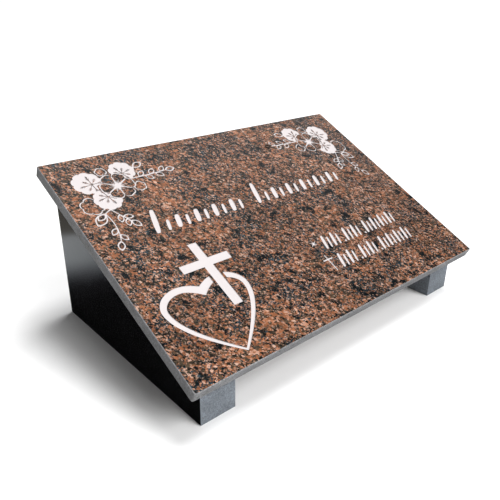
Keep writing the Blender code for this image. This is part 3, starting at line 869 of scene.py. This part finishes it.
def heart_shape(half_outline):
    """Heart from a half outline given in shares of half its width and of its height."""
    start, *curves = half_outline
    half = [start]
    here = Vector((*start, 0.0))
    for handles_and_end in curves:
        knots = [Vector((*knot, 0.0)) for knot in handles_and_end]
        drawn = interpolate_bezier(here, *knots, HEART_STEPS + 1)
        half += [(point.x, point.y) for point in drawn[1:]]
        here = knots[-1]
    right = [(HEART_X + x * HEART_WIDTH / 2, HEART_TIP + y * HEART_HEIGHT) for x, y in half]
    return right + [(2 * HEART_X - x, y) for x, y in reversed(right[1:-1])]


def star_shape(x, y):
    """Small star, its inner points closer to the middle by the share of its waist."""
    points = []
    for step in range(2 * STAR_RAYS):
        reach = STAR_SIZE / 2 if step % 2 == 0 else STAR_SIZE * STAR_WAIST
        angle = math.pi / 2 + step * math.pi / STAR_RAYS
        points.append((x + reach * math.cos(angle), y + reach * math.sin(angle)))
    return points


def disc_shape(x, y, diameter, steps):
    """Round dot."""
    turns = [2 * math.pi * step / steps for step in range(steps)]
    return [(x + diameter / 2 * math.cos(turn), y + diameter / 2 * math.sin(turn)) for turn in turns]


# Engraving


def spray_cutters(collection, levels, settings):
    """Cutters of the left flower spray, and of the right one mirrored from it."""
    centre = Matrix.Translation((SPRAY_X, SPRAY_Y, 0.0))
    line = settings.line_width
    beyond = {**levels, "Low": levels["Low"] - CUTTER_RISE, "High": levels["High"] + CUTTER_RISE}

    def spot(along, back, heading):
        """Place in the spray, turned to a heading in degrees."""
        turn = Matrix.Rotation(math.radians(heading), 4, "Z")
        return centre @ Matrix.Translation((along, back, 0.0)) @ turn

    outline = grown("flower_outline", flower_outline_tree(), collection,
                    {**beyond, "Radius": FLOWER_RADIUS - line / 2}, centre)
    cutters = [grown("flower", flower_tree(), collection, {
        **levels, "Radius": FLOWER_RADIUS, "Petals": FLOWER_PETALS, "Eye": FLOWER_EYE, "Line": line,
    }, centre)]
    full_leaf, open_leaf, veins = full_leaf_tree(), open_leaf_tree(), vein_tree()
    for number, (along, back, radius, stalk) in enumerate(FULL_LEAVES, 1):
        place = spot(along, back, stalk)
        leaf = grown("full_leaf_{}".format(number), full_leaf, collection,
                     {**levels, "Radius": radius}, place)
        fan = grown("veins_{}".format(number), veins, collection,
                    {**beyond, "Radius": radius, "Width": settings.vein_width},
                    place @ Matrix.Translation((radius * VEIN_START, 0.0, 0.0)))
        cut_by(leaf, [outline, fan], collection)
        removed([fan])
        cutters.append(leaf)
    for number, (along, back, radius, stalk) in enumerate(OPEN_LEAVES, 1):
        leaf = grown("open_leaf_{}".format(number), open_leaf, collection,
                     {**levels, "Radius": radius, "Line": line}, spot(along, back, stalk))
        cut_by(leaf, [outline], collection)
        cutters.append(leaf)
    sprig, loose_leaf = sprig_tree(), loose_leaf_tree()
    for number, (along, back, heading, bend, length, leaves, bare, first_side) in enumerate(SPRIGS, 1):
        cutters.append(grown("sprig_{}".format(number), sprig, collection, {
            **levels, "Length": length, "Bend": math.radians(bend), "Leaves": leaves, "Bare": bare,
            "First side": first_side, "Line": line,
        }, spot(along, back, heading)))
    for number, (along, back, heading, length) in enumerate(LOOSE_LEAVES, 1):
        cutters.append(grown("loose_leaf_{}".format(number), loose_leaf, collection,
                             {**levels, "Length": length, "Line": line}, spot(along, back, heading)))
    removed([outline])
    flip = Matrix.Translation((-RIGHT_SPRAY_SHIFT, 0.0, 0.0)) @ Matrix.Scale(-1.0, 4, (1.0, 0.0, 0.0))
    for cutter in list(cutters):
        twin = bpy.data.objects.new("right_" + cutter.name, cutter.data.copy())
        collection.objects.link(twin)
        twin.data.transform(flip)
        twin.data.flip_normals()
        cutters.append(twin)
    return cutters


def row_cutters(name, row, tree, collection, levels):
    """Cutters of one row of strokes."""
    x, foot, groups, pitch, gap, (tall, low), (full, thin) = row
    cutters = []
    for number, count in enumerate(groups, 1):
        cutters.append(grown("{}_{}".format(name, number), tree, collection, {
            **levels, "Places": count, "Pitch": pitch, "First height": tall, "Height": low,
            "Width": full, "Thin width": thin,
        }, Matrix.Translation((x, foot, 0.0))))
        x += count * pitch + gap
    return cutters


def engraving_cutters(collection, settings, paint):
    """Every cutter of the engraving, in the slab's plan."""
    low = SLAB_THICKNESS - settings.engraving_depth
    high = SLAB_THICKNESS + CUTTER_RISE
    levels = {"Low": low, "High": high, "Material": paint}
    cross = cross_shape(
        CROSS_X, CROSS_FOOT, CROSS_HEIGHT, CROSS_SPAN, CROSS_POST, CROSS_ARM, CROSS_HEAD,
    )
    cutters = [outlined("cross", [cross], low, high, paint, collection)]
    hearts = [heart_shape(half) for half in (HEART_OUTER, HEART_INNER)]
    heart = outlined("heart", hearts, low, high, paint, collection)
    reach = CROSS_POST / 2 + HEART_BREAK
    strip = [
        (CROSS_X - reach, CROSS_FOOT), (CROSS_X + reach, CROSS_FOOT),
        (CROSS_X + reach, CROSS_FOOT + CROSS_HEIGHT), (CROSS_X - reach, CROSS_FOOT + CROSS_HEIGHT),
    ]
    keeper = outlined("keeper", [strip], low - CUTTER_RISE, high + CUTTER_RISE, paint, collection)
    cut_by(heart, [keeper], collection)
    removed([keeper])
    cutters.append(heart)
    rows = stroke_row_tree()
    cutters += row_cutters("tall_row", TALL_ROW, rows, collection, levels)
    for number, row in enumerate(SMALL_ROWS, 1):
        cutters += row_cutters("small_row_{}".format(number), row, rows, collection, levels)
        x, foot, groups, pitch, gap = row[:5]
        dot_x = x - gap / 2
        for group, count in enumerate(groups[:-1], 1):
            dot_x += count * pitch + gap
            dot = disc_shape(dot_x, foot + ROW_DOT / 2, ROW_DOT, ROW_DOT_STEPS)
            title = "row_{}_dot_{}".format(number, group)
            cutters.append(outlined(title, [dot], low, high, paint, collection))
    star = star_shape(SIGN_X, SMALL_ROWS[0][1] + SMALL_ROWS[0][5][0] - STAR_SIZE / 2)
    small_cross = cross_shape(
        SIGN_X, SMALL_ROWS[1][1], SMALL_CROSS_HEIGHT, SMALL_CROSS_SPAN,
        SMALL_CROSS_LINE, SMALL_CROSS_LINE, SMALL_CROSS_HEAD,
    )
    for name, shape in (("star", star), ("small_cross", small_cross)):
        cutters.append(outlined(name, [shape], low, high, paint, collection))
    return cutters + spray_cutters(collection, levels, settings)


# Materials


def shader_group(name, inputs, outputs):
    """Start a shader node group with named inputs and outputs."""
    tree = bpy.data.node_groups.new(name, "ShaderNodeTree")
    for title, kind, value in inputs:
        socket = tree.interface.new_socket(title, in_out="INPUT", socket_type=kind)
        if value is not None:
            socket.default_value = value
    for title, kind in outputs:
        tree.interface.new_socket(title, in_out="OUTPUT", socket_type=kind)
    nodes = Nodes(tree)
    return nodes, nodes.inputs()


def grain_group():
    """Crystal grains: a value for each grain, one for each small flake, and soft clusters of both."""
    nodes, given = shader_group(
        "Stone grains",
        [("Vector", "NodeSocketVector", None), ("Grain", "NodeSocketFloat", 0.005),
         ("Flake", "NodeSocketFloat", 0.0024), ("Cluster", "NodeSocketFloat", 0.05)],
        [("Grain", "NodeSocketFloat"), ("Flake", "NodeSocketFloat"), ("Cluster", "NodeSocketFloat"),
         ("Mottle", "NodeSocketFloat")],
    )
    place = given["Vector"]
    ripple = nodes.get("ShaderNodeTexNoise", {
        "Vector": place, "Scale": GRAIN_RIPPLE / given["Grain"], "Detail": 3.0, "Roughness": 0.6,
    }, output="Color")
    centred = nodes.vector_math("SUBTRACT", {0: ripple, 1: (0.5, 0.5, 0.5)})
    push = nodes.vector_math("SCALE", {0: centred, "Scale": given["Grain"] * GRAIN_RIPPLE})
    wandered = nodes.vector_math("ADD", {0: place, 1: push})
    values = []
    for size in (given["Grain"], given["Flake"]):
        cells = nodes.get("ShaderNodeTexVoronoi", {"Vector": wandered, "Scale": 1.0 / size}, output="Color")
        split = nodes.add("ShaderNodeSeparateColor", {0: cells})
        values.append(Amount(nodes, split.outputs[0]))
    cluster = nodes.get("ShaderNodeTexNoise", {
        "Vector": place, "Scale": 1.0 / given["Cluster"], "Detail": 4.0, "Roughness": 0.62,
    }, output="Fac")
    mottle = nodes.get("ShaderNodeTexNoise", {
        "Vector": place, "Scale": MOTTLE_FINENESS / given["Flake"], "Detail": 2.0, "Roughness": 0.6,
    }, output="Fac")
    nodes.add("NodeGroupOutput", {
        "Grain": values[0], "Flake": values[1], "Cluster": cluster, "Mottle": mottle,
    })
    return nodes.tree


def pit_group():
    """Small round pits, scattered: a mask that is 1 in a pit."""
    nodes, given = shader_group(
        "Pits",
        [("Vector", "NodeSocketVector", None), ("Spacing", "NodeSocketFloat", 0.006),
         ("Size", "NodeSocketFloat", 0.3)],
        [("Pit", "NodeSocketFloat")],
    )
    cells = nodes.add("ShaderNodeTexVoronoi", {"Vector": given["Vector"], "Scale": 1.0 / given["Spacing"]})
    chance = nodes.add("ShaderNodeSeparateColor", {0: Amount(nodes, cells.outputs["Color"])})
    limit = given["Size"] * Amount(nodes, chance.outputs[1]) ** PIT_SIZE_POWER
    pit = nodes.math("LESS_THAN", Amount(nodes, cells.outputs["Distance"]), limit)
    nodes.add("NodeGroupOutput", {"Pit": pit})
    return nodes.tree


def handling_group():
    """Faint smears and dust that dull a surface unevenly."""
    nodes, given = shader_group(
        "Handling", [("Vector", "NodeSocketVector", None)],
        [("Smear", "NodeSocketFloat"), ("Dust", "NodeSocketFloat")],
    )
    smear = nodes.get("ShaderNodeTexNoise", {
        "Vector": given["Vector"], "Scale": SMEAR_SCALE, "Detail": 5.0, "Roughness": 0.65,
        "Distortion": 0.8,
    }, output="Fac")
    dust = nodes.get("ShaderNodeTexNoise", {
        "Vector": given["Vector"], "Scale": DUST_SCALE, "Detail": 2.0, "Roughness": 0.6,
    }, output="Fac")
    nodes.add("NodeGroupOutput", {"Smear": smear, "Dust": dust})
    return nodes.tree


def new_material(name, viewport_colour):
    """Make a Principled material and return it with its nodes and shader."""
    material = bpy.data.materials.new(name)
    material.use_nodes = True
    material.diffuse_color = (*viewport_colour, 1.0)
    nodes = Nodes(material.node_tree)
    return material, nodes, material.node_tree.nodes["Principled BSDF"]


def scaled(colour, share):
    """A colour made lighter or darker."""
    return tuple(share * part for part in colour)


def ramp(nodes, value, stops):
    """Colour along a ramp: stops are (place, colour)."""
    node = nodes.add("ShaderNodeValToRGB", {0: value})
    elements = node.color_ramp.elements
    while len(elements) < len(stops):
        elements.new(0.5)
    for element, (place, colour) in zip(elements, stops):
        element.position = place
        element.color = (*colour, 1.0)
    return Amount(nodes, node.outputs[0])


def between(nodes, value, low, high, to_low=0.0, to_high=1.0):
    """Stretch a value from one range to another, held at its ends."""
    return nodes.get("ShaderNodeMapRange", {
        "Value": value, "From Min": low, "From Max": high, "To Min": to_low, "To Max": to_high,
    })


def mixed(nodes, share, first, second):
    """Mix two colours."""
    node = nodes.add("ShaderNodeMix", {0: share, 6: first, 7: second}, data_type="RGBA")
    return Amount(nodes, node.outputs[2])


def placed_group(nodes, name, build, values):
    """Place a shared group in a material with these values, and return its outputs by name."""
    shared = bpy.data.node_groups.get(name) or build()
    node = nodes.add("ShaderNodeGroup", node_tree=shared)
    for title, value in values.items():
        nodes.feed(node.inputs[title], value)
    return {socket.name: Amount(nodes, socket) for socket in node.outputs}


def dressed(nodes, shader, colour, roughness, height, strength, distance):
    """Feed a shader its colour, its roughness and a fine relief."""
    nodes.feed(shader.inputs["Base Color"], colour)
    nodes.feed(shader.inputs["Roughness"], roughness)
    bump = nodes.get("ShaderNodeBump", {"Height": height, "Strength": strength, "Distance": distance})
    nodes.feed(shader.inputs["Normal"], bump)


def grains(nodes, place, grain, flake, cluster):
    """Outputs of the stone grain group at this place in a material."""
    return placed_group(nodes, "Stone grains", grain_group, {
        "Vector": place, "Grain": grain, "Flake": flake, "Cluster": cluster,
    })


def handled(nodes, place):
    """Outputs of the handling group."""
    return placed_group(nodes, "Handling", handling_group, {"Vector": place})


def own_place(nodes):
    """Object coordinates."""
    return nodes.get("ShaderNodeTexCoord", output="Object")


def slab_place(nodes):
    """Object coordinates turned into the slab's own plan."""
    return nodes.get("ShaderNodeMapping", {
        "Vector": own_place(nodes), "Location": (0.0, FRONT_Y, FRONT_Z),
        "Rotation": (SLAB_TILT, 0.0, 0.0),
    }, vector_type="TEXTURE")


def polished_granite(settings):
    """Polished red granite: salmon feldspar grains, pale quartz and dark flakes in drifting bands."""
    material, nodes, shader = new_material("polished_red_granite", settings.feldspar_colour)
    plan = slab_place(nodes)
    drift = nodes.get("ShaderNodeMapping", {
        "Vector": plan, "Rotation": (0.0, 0.0, DRIFT_TURN), "Scale": DRIFT_STRETCH,
    }, vector_type="TEXTURE")
    stone = grains(nodes, drift, GRAIN_SIZE, FLAKE_SIZE, CLUSTER_SIZE)
    base = ramp(nodes, stone["Grain"], [
        (spot, scaled(getattr(settings, colour), share)) for spot, colour, share in GRAIN_COLOURS
    ])
    lights = between(nodes, stone["Flake"], *PALE_FLAKES)
    base = mixed(nodes, lights * PALE_FLAKE_STRENGTH, base, (*settings.quartz_colour, 1.0))
    level = between(nodes, stone["Cluster"], *CLUSTER_SPAN, *DARK_FLAKE_SHARE)
    dark = nodes.math("LESS_THAN", stone["Flake"], level)
    mica = ramp(nodes, stone["Grain"], [
        (0.0, tuple(settings.mica_colour)),
        (1.0, tuple(PALE_MICA_GAIN * part + PALE_MICA_LIFT for part in settings.mica_colour)),
    ])
    base = mixed(nodes, dark * DARK_FLAKE_STRENGTH, base, mica)
    blotch = nodes.get("ShaderNodeTexNoise", {
        "Vector": drift, "Scale": BLOTCH_SCALE, "Detail": 7.0, "Roughness": 0.80,
    }, output="Fac")
    blotted = between(nodes, blotch, *BLOTCH_SPAN) * BLOTCH_STRENGTH
    base = mixed(nodes, blotted, base, (*settings.mica_colour, 1.0))
    shade = between(nodes, stone["Mottle"], *NOISE_SPAN, *GRAIN_SHADE)
    broad = nodes.get("ShaderNodeTexNoise", {
        "Vector": plan, "Scale": BROAD_SCALE, "Detail": 3.0,
    }, output="Fac")
    shade = shade * between(nodes, broad, *BROAD_SPAN, *BROAD_SHADE)
    # Bright grains are made brighter and dark ones darker, as a polish does
    contrast = (nodes.get("ShaderNodeRGBToBW", {0: base}) / settings.middle_tone) ** settings.contrast
    shaded = nodes.vector_math("SCALE", {0: base, "Scale": shade * contrast})
    smear = handled(nodes, plan)["Smear"]
    roughness = between(nodes, smear, *SMEAR_SPAN, *POLISH_ROUGHNESS) + dark * DARK_FLAKE_DULLNESS
    dressed(nodes, shader, shaded, roughness, stone["Mottle"], strength=0.05, distance=0.0002)
    return material


def sawn_stone(name, colour, place_of, fineness, contrast, roughness, pits):
    """Sawn, unpolished stone: fine speckle, pits sunk by a bump and darkened with painted shade, and a
    dull, slightly rough surface.
    """
    material, nodes, shader = new_material(name, colour)
    place = place_of(nodes)
    stone = grains(
        nodes, place, SAWN_GRAIN_SIZE * fineness, SAWN_FLAKE_SIZE * fineness, SAWN_CLUSTER_SIZE,
    )
    base = ramp(nodes, stone["Flake"], [
        (spot, scaled(colour, 1.0 + share * contrast)) for spot, share in SAWN_SHADES
    ])
    shades = [1.0 + share * contrast for share in SAWN_CLUSTER_SHADE]
    shade = between(nodes, stone["Cluster"], *BROAD_SPAN, *shades)
    shade = shade * between(nodes, stone["Mottle"], *NOISE_SPAN, *SAWN_MOTTLE_SHADE)
    marks = handled(nodes, place)
    pit = placed_group(nodes, "Pits", pit_group, {
        "Vector": place, "Spacing": PIT_SPACING, "Size": pits,
    })["Pit"]
    # The pits are also painted darker in colour, as painted shade in their hollows
    shade = shade * (1.0 - pit * PIT_PAINTED_SHADE)
    shaded = nodes.vector_math("SCALE", {0: base, "Scale": shade})
    swing = (roughness - SAWN_ROUGHNESS_SWING, roughness + SAWN_ROUGHNESS_SWING)
    dull = between(nodes, marks["Smear"], *BROAD_SPAN, *swing)
    height = marks["Dust"] * 0.5 + stone["Flake"] * 0.5 - pit * PIT_DEPTH
    dressed(nodes, shader, shaded, dull, height, strength=0.35, distance=0.0004)
    return material


def polished_black(settings):
    """Polished black granite: near black, with sparse fine glints."""
    material, nodes, shader = new_material("polished_black_granite", settings.polished_colour)
    place = own_place(nodes)
    stone = grains(nodes, place, BLACK_GRAIN_SIZE, BLACK_FLAKE_SIZE, SAWN_CLUSTER_SIZE)
    glint = between(nodes, stone["Flake"], *GLINTS) * GLINT_STRENGTH
    bright = scaled(settings.polished_colour, GLINT_GAIN)
    base = mixed(nodes, glint, (*settings.polished_colour, 1.0), (*bright, 1.0))
    shade = between(nodes, stone["Mottle"], *NOISE_SPAN, *BLACK_SHADE)
    shaded = nodes.vector_math("SCALE", {0: base, "Scale": shade})
    marks = handled(nodes, place)
    roughness = between(nodes, marks["Smear"], *SMEAR_SPAN, *BLACK_ROUGHNESS)
    roughness = roughness + marks["Dust"] * DUST_DULLNESS
    dressed(nodes, shader, shaded, roughness, stone["Mottle"], strength=0.03, distance=0.0002)
    return material


def engraving_paint(settings):
    """Pale paint in the engraving: matt, with a faint unevenness from the blasted stone under it."""
    material, nodes, shader = new_material("engraving_paint", settings.paint_colour)
    marks = handled(nodes, slab_place(nodes))
    shade = between(nodes, marks["Dust"], *NOISE_SPAN, *PAINT_DUST_SHADE)
    shade = shade * between(nodes, marks["Smear"], *SMEAR_SPAN, *PAINT_SMEAR_SHADE)
    shaded = nodes.vector_math("SCALE", {0: tuple(settings.paint_colour), "Scale": shade})
    roughness = between(nodes, marks["Smear"], *BROAD_SPAN, *PAINT_ROUGHNESS)
    dressed(nodes, shader, shaded, roughness, marks["Dust"], strength=0.25, distance=0.0003)
    return material


# Pieces


def finished_piece(name, holder, collection, node):
    """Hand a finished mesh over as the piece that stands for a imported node."""
    piece = bpy.data.objects.new(name, holder.data)
    bpy.context.scene.collection.objects.link(piece)
    piece.data.name = name
    removed(list(collection.objects))
    bpy.data.collections.remove(collection)
    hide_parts(node)
    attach(piece, "root")


def eased(solid, width, steps):
    """Round a solid's sharp edges."""
    bevel = solid.modifiers.new("arris", "BEVEL")
    bevel.width = width
    bevel.segments = steps
    bevel.limit_method = "ANGLE"
    bevel.angle_limit = EASED_ANGLE
    settled(solid)


def by_face(mesh, materials, choose):
    """Give a mesh its materials, and each face the one that choose names."""
    mesh.materials.clear()
    for material in materials:
        mesh.materials.append(material)
    for face in mesh.polygons:
        face.material_index = choose(face)


class HeadstoneSlab(bpy.types.PropertyGroup):
    """Sizes and colours of the slab."""

    corner_radius: FloatProperty(
        name="Corner radius", description="Radius of the slab's corners in plan",
        default=0.0035, min=0.0005, max=0.02, unit="LENGTH",
    )
    arris: FloatProperty(
        name="Arris", description="Width that the edges are eased by",
        default=0.0016, min=0.0003, max=0.004, unit="LENGTH",
    )
    engraving_depth: FloatProperty(
        name="Engraving depth", description="Depth of the painted engraving",
        default=0.0008, min=0.0003, max=0.003, unit="LENGTH",
    )
    line_width: FloatProperty(
        name="Line width", description="Width of the sprays' engraved lines",
        default=0.0023, min=0.0006, max=0.003, unit="LENGTH",
    )
    vein_width: FloatProperty(
        name="Vein width", description="Width of the bare veins in the full leaves",
        default=0.0009, min=0.0006, max=0.003, unit="LENGTH",
    )
    middle_tone: FloatProperty(
        name="Middle tone", description="Lightness that the grains' contrast leaves alone",
        default=0.102, min=0.01, max=1.0,
    )
    contrast: FloatProperty(
        name="Contrast", description="How far the grains part from the middle tone",
        default=0.66, min=0.0, max=2.0,
    )
    feldspar_colour: FloatVectorProperty(
        name="Feldspar", description="Colour of the red grains",
        default=(0.163, 0.063, 0.030), min=0.0, max=1.0, subtype="COLOR",
    )
    olive_colour: FloatVectorProperty(
        name="Olive", description="Colour of the dull grains between the red ones",
        default=(0.080, 0.058, 0.038), min=0.0, max=1.0, subtype="COLOR",
    )
    quartz_colour: FloatVectorProperty(
        name="Quartz", description="Colour of the palest grains",
        default=(0.265, 0.170, 0.130), min=0.0, max=1.0, subtype="COLOR",
    )
    mica_colour: FloatVectorProperty(
        name="Mica", description="Colour of the dark flakes",
        default=(0.002, 0.012, 0.017), min=0.0, max=1.0, subtype="COLOR",
    )
    edge_colour: FloatVectorProperty(
        name="Edges", description="Colour of the honed edges",
        default=(0.180, 0.181, 0.186), min=0.0, max=1.0, subtype="COLOR",
    )
    underside_colour: FloatVectorProperty(
        name="Underside", description="Colour of the sawn underside",
        default=(0.20, 0.165, 0.15), min=0.0, max=1.0, subtype="COLOR",
    )
    paint_colour: FloatVectorProperty(
        name="Paint", description="Colour of the paint in the engraving",
        default=(0.500, 0.465, 0.465), min=0.0, max=1.0, subtype="COLOR",
    )


class HeadstoneSupports(bpy.types.PropertyGroup):
    """Sizes and colours of the supports."""

    front_height: FloatProperty(
        name="Front height", description="Height of a support's front face",
        default=0.080, min=0.02, max=0.2, unit="LENGTH",
    )
    arris: FloatProperty(
        name="Arris", description="Width that the edges are eased by",
        default=0.0010, min=0.0003, max=0.004, unit="LENGTH",
    )
    polished_colour: FloatVectorProperty(
        name="Polished faces", description="Colour of the polished outer faces",
        default=(0.0030, 0.0030, 0.0034), min=0.0, max=1.0, subtype="COLOR",
    )
    sawn_colour: FloatVectorProperty(
        name="Sawn faces", description="Colour of the sawn faces",
        default=(0.142, 0.160, 0.182), min=0.0, max=1.0, subtype="COLOR",
    )


class HeadstoneStage(bpy.types.PropertyGroup):
    """Light and floor of the studio."""

    floor_colour: FloatVectorProperty(
        name="Floor", description="Colour of the floor",
        default=(0.93, 0.93, 0.93), min=0.0, max=1.0, subtype="COLOR",
    )
    top_light: FloatProperty(
        name="Top light", description="Strength of the broad light above", default=2.8, min=0.0,
    )
    front_light: FloatProperty(
        name="Front light", description="Strength of the light from the front right",
        default=2.7, min=0.0,
    )
    room_light: FloatProperty(
        name="Room light", description="Strength of the light from all round", default=0.16, min=0.0,
    )


class HEADSTONE_OT_slab(bpy.types.Operator):
    """Make the slab, cut the engraving into it and paint it"""

    bl_idname = "headstone.slab"
    bl_label = "Engraved slab"

    def execute(self, context):
        settings = context.scene.headstone_slab
        collection = new_collection("slab_making")
        paint = engraving_paint(settings)
        edge = sawn_stone(
            "honed_granite_edge", tuple(settings.edge_colour), slab_place,
            fineness=0.8, contrast=0.65, roughness=0.55, pits=0.20,
        )
        underside = sawn_stone(
            "sawn_granite_underside", tuple(settings.underside_colour), slab_place,
            fineness=1.3, contrast=0.8, roughness=0.80, pits=0.30,
        )
        materials = [polished_granite(settings), edge, underside, paint]
        top, side, bottom, painted = range(len(materials))
        plate = grown("plate", plate_tree(), collection, {
            "Length": SLAB_LENGTH, "Depth": SLAB_DEPTH, "Corner": settings.corner_radius,
            "Low": 0.0, "High": SLAB_THICKNESS,
        })
        eased(plate, settings.arris, ARRIS_STEPS)
        cut_by(plate, engraving_cutters(collection, settings, paint), collection)

        def stone_face(face):
            x, y, z = face.center
            border = min(SLAB_LENGTH / 2 - abs(x), y, SLAB_DEPTH - y)
            sunk = SLAB_THICKNESS / 2 < z < SLAB_THICKNESS - MERGE_DISTANCE
            if sunk and border > 2 * settings.arris:
                return painted
            if face.normal.z > LEVEL_NORMAL:
                return top
            return bottom if face.normal.z < -LEVEL_NORMAL else side

        by_face(plate.data, materials, stone_face)
        if all(face.material_index != painted for face in plate.data.polygons):
            raise RuntimeError("the engraving was not cut")
        tidied(plate.data, SEAT)
        finished_piece("slab_stone", plate, collection, "slab")
        return {"FINISHED"}


class HEADSTONE_OT_supports(bpy.types.Operator):
    """Make the two wedge supports, polished on their outer sides and sawn elsewhere"""

    bl_idname = "headstone.supports"
    bl_label = "Wedge supports"

    def execute(self, context):
        settings = context.scene.headstone_supports
        polished = polished_black(settings)
        sawn = sawn_stone(
            "sawn_black_granite", tuple(settings.sawn_colour), own_place,
            fineness=1.0, contrast=0.55, roughness=0.62, pits=0.34,
        )
        near = FRONT_Y + SUPPORT_FRONT_INSET
        far = FRONT_Y + SLAB_DEPTH * math.cos(SLAB_TILT) - SUPPORT_BACK_INSET
        tree = wedge_tree()
        for side, name, node in ((-1, "left_support_stone", "left_support"),
                                 (1, "right_support_stone", "right_support")):
            collection = new_collection(name + "_making")
            outer = SLAB_LENGTH / 2 - SUPPORT_SIDE_INSET
            low, high = sorted((side * outer, side * (outer - SUPPORT_WIDTH)))
            # The profile is drawn in X and Y and turned up so that its thickness runs along X
            turned = Matrix(((0, 0, 1, 0), (1, 0, 0, near), (0, 1, 0, 0), (0, 0, 0, 1)))
            wedge = grown(name + "_form", tree, collection, {
                "Run": far - near, "Front height": settings.front_height,
                "Back height": settings.front_height + (far - near) * math.tan(SLAB_TILT),
                "Low": low, "High": high,
            }, turned)
            eased(wedge, settings.arris, SUPPORT_ARRIS_STEPS)
            by_face(wedge.data, [polished, sawn], lambda face: 0 if side * face.normal.x > 0.5 else 1)
            finished_piece(name, wedge, collection, node)
        return {"FINISHED"}


class HEADSTONE_OT_stage(bpy.types.Operator):
    """Make the floor, the lights, the room and the camera"""

    bl_idname = "headstone.stage"
    bl_label = "Studio"

    def execute(self, context):
        settings = context.scene.headstone_stage
        context.scene.view_settings.view_transform = "Standard"
        material, nodes, shader = new_material("pale_floor", settings.floor_colour)
        fleck = nodes.get("ShaderNodeTexNoise", {
            "Vector": own_place(nodes), "Scale": 40.0, "Detail": 3.0,
        }, output="Fac")
        shade = between(nodes, fleck, *BROAD_SPAN, *FLOOR_SHADE)
        base = nodes.vector_math("SCALE", {0: tuple(settings.floor_colour), "Scale": shade})
        nodes.feed(shader.inputs["Base Color"], base)
        shader.inputs["Roughness"].default_value = 0.9
        mesh = bpy.data.meshes.new("studio_floor")
        work = bmesh.new()
        bmesh.ops.create_grid(work, x_segments=8, y_segments=8, size=FLOOR_HALF_WIDTH)
        work.to_mesh(mesh)
        work.free()
        mesh.materials.append(material)
        floor = bpy.data.objects.new("studio_floor", mesh)
        context.scene.collection.objects.link(floor)
        floor.visible_glossy = False
        for name, spread, direction in LAMPS:
            lamp = bpy.data.lights.new(name, "SUN")
            lamp.energy = getattr(settings, name)
            lamp.angle = math.radians(spread)
            holder = bpy.data.objects.new(name, lamp)
            context.scene.collection.objects.link(holder)
            holder.visible_glossy = False
            holder.rotation_euler = Vector(direction).to_track_quat("-Z", "Y").to_euler()
        self.make_room(context, settings)
        camera = bpy.data.cameras.new("photo_camera")
        camera.sensor_width = 36.0
        camera.lens = CAMERA_LENS
        camera.clip_start = 0.01
        camera.clip_end = 100.0
        holder = bpy.data.objects.new("photo_camera", camera)
        context.scene.collection.objects.link(holder)
        axes = [Vector(CAMERA_RIGHT), Vector(CAMERA_UP), -Vector(CAMERA_VIEW), Vector(CAMERA_PLACE)]
        holder.matrix_world = Matrix([[axis[row] for axis in axes] for row in range(3)] + [[0, 0, 0, 1]])
        context.scene.camera = holder
        return {"FINISHED"}

    def make_room(self, context, settings):
        """White room for the camera, soft light all round, and a darker room in the gloss."""
        world = bpy.data.worlds.new("studio_room")
        context.scene.world = world
        world.use_nodes = True
        nodes = Nodes(world.node_tree)
        path = nodes.add("ShaderNodeLightPath")
        direction = nodes.get("ShaderNodeTexCoord", output="Generated")
        split = nodes.add("ShaderNodeSeparateXYZ", {0: direction})
        back, height = (Amount(nodes, split.outputs[axis]) for axis in "YZ")
        angle = nodes.math("ARCSINE", height) * (180.0 / math.pi)
        glossy = ramp(nodes, between(nodes, angle, GLOSS_LOWEST, 0.0), GLOSS_COLOURS)
        window = between(nodes, back, 0.0, WINDOW_REACH, 0.0, WINDOW_STRENGTH)
        window = window * between(nodes, height, 0.0, WINDOW_RISE)
        facing = nodes.get(
            "ShaderNodeVectorMath", {0: direction, 1: ROOM_FACING}, output="Value",
            operation="DOT_PRODUCT",
        )
        room = between(nodes, facing, *ROOM_SPAN, *ROOM_LIGHT) * settings.room_light
        shown, in_gloss, backdrop = (
            nodes.get("ShaderNodeBackground", {"Color": colour, "Strength": strength})
            for colour, strength in (
                (WHITE, room), (glossy, window + GLOSS_STRENGTH), (WHITE, BACKDROP_STRENGTH),
            )
        )
        for ray, light in (("Is Glossy Ray", in_gloss), ("Is Camera Ray", backdrop)):
            chosen = Amount(nodes, path.outputs[ray])
            shown = nodes.get("ShaderNodeMixShader", {0: chosen, 1: shown, 2: light})
        nodes.feed(world.node_tree.nodes["World Output"].inputs["Surface"], shown)


class HEADSTONE_PT_panel(bpy.types.Panel):
    """Lists the pieces and their sizes"""

    bl_idname = "HEADSTONE_PT_panel"
    bl_label = "Granite Headstone"
    bl_space_type = "VIEW_3D"
    bl_region_type = "UI"
    bl_category = "Headstone"

    def draw(self, context):
        for operator, settings in zip(OPERATORS, ("slab", "supports", "stage")):
            box = self.layout.box()
            box.operator(operator.bl_idname)
            group = getattr(context.scene, "headstone_" + settings)
            for name in group.__annotations__:
                box.prop(group, name)


OPERATORS = (HEADSTONE_OT_slab, HEADSTONE_OT_supports, HEADSTONE_OT_stage)
GROUPS = {
    "headstone_slab": HeadstoneSlab,
    "headstone_supports": HeadstoneSupports,
    "headstone_stage": HeadstoneStage,
}


def register():
    """Register the settings, the operators and the panel."""
    for name, group in GROUPS.items():
        bpy.utils.register_class(group)
        setattr(bpy.types.Scene, name, PointerProperty(type=group))
    for operator in OPERATORS + (HEADSTONE_PT_panel,):
        bpy.utils.register_class(operator)


def unregister():
    """Take away what register added."""
    for operator in (HEADSTONE_PT_panel,) + OPERATORS:
        bpy.utils.unregister_class(operator)
    for name, group in GROUPS.items():
        delattr(bpy.types.Scene, name)
        bpy.utils.unregister_class(group)


def main():
    """Make every piece and the studio."""
    register()
    for operator in OPERATORS:
        section, name = operator.bl_idname.split(".")
        getattr(getattr(bpy.ops, section), name)()


if __name__ == "__main__":
    main()
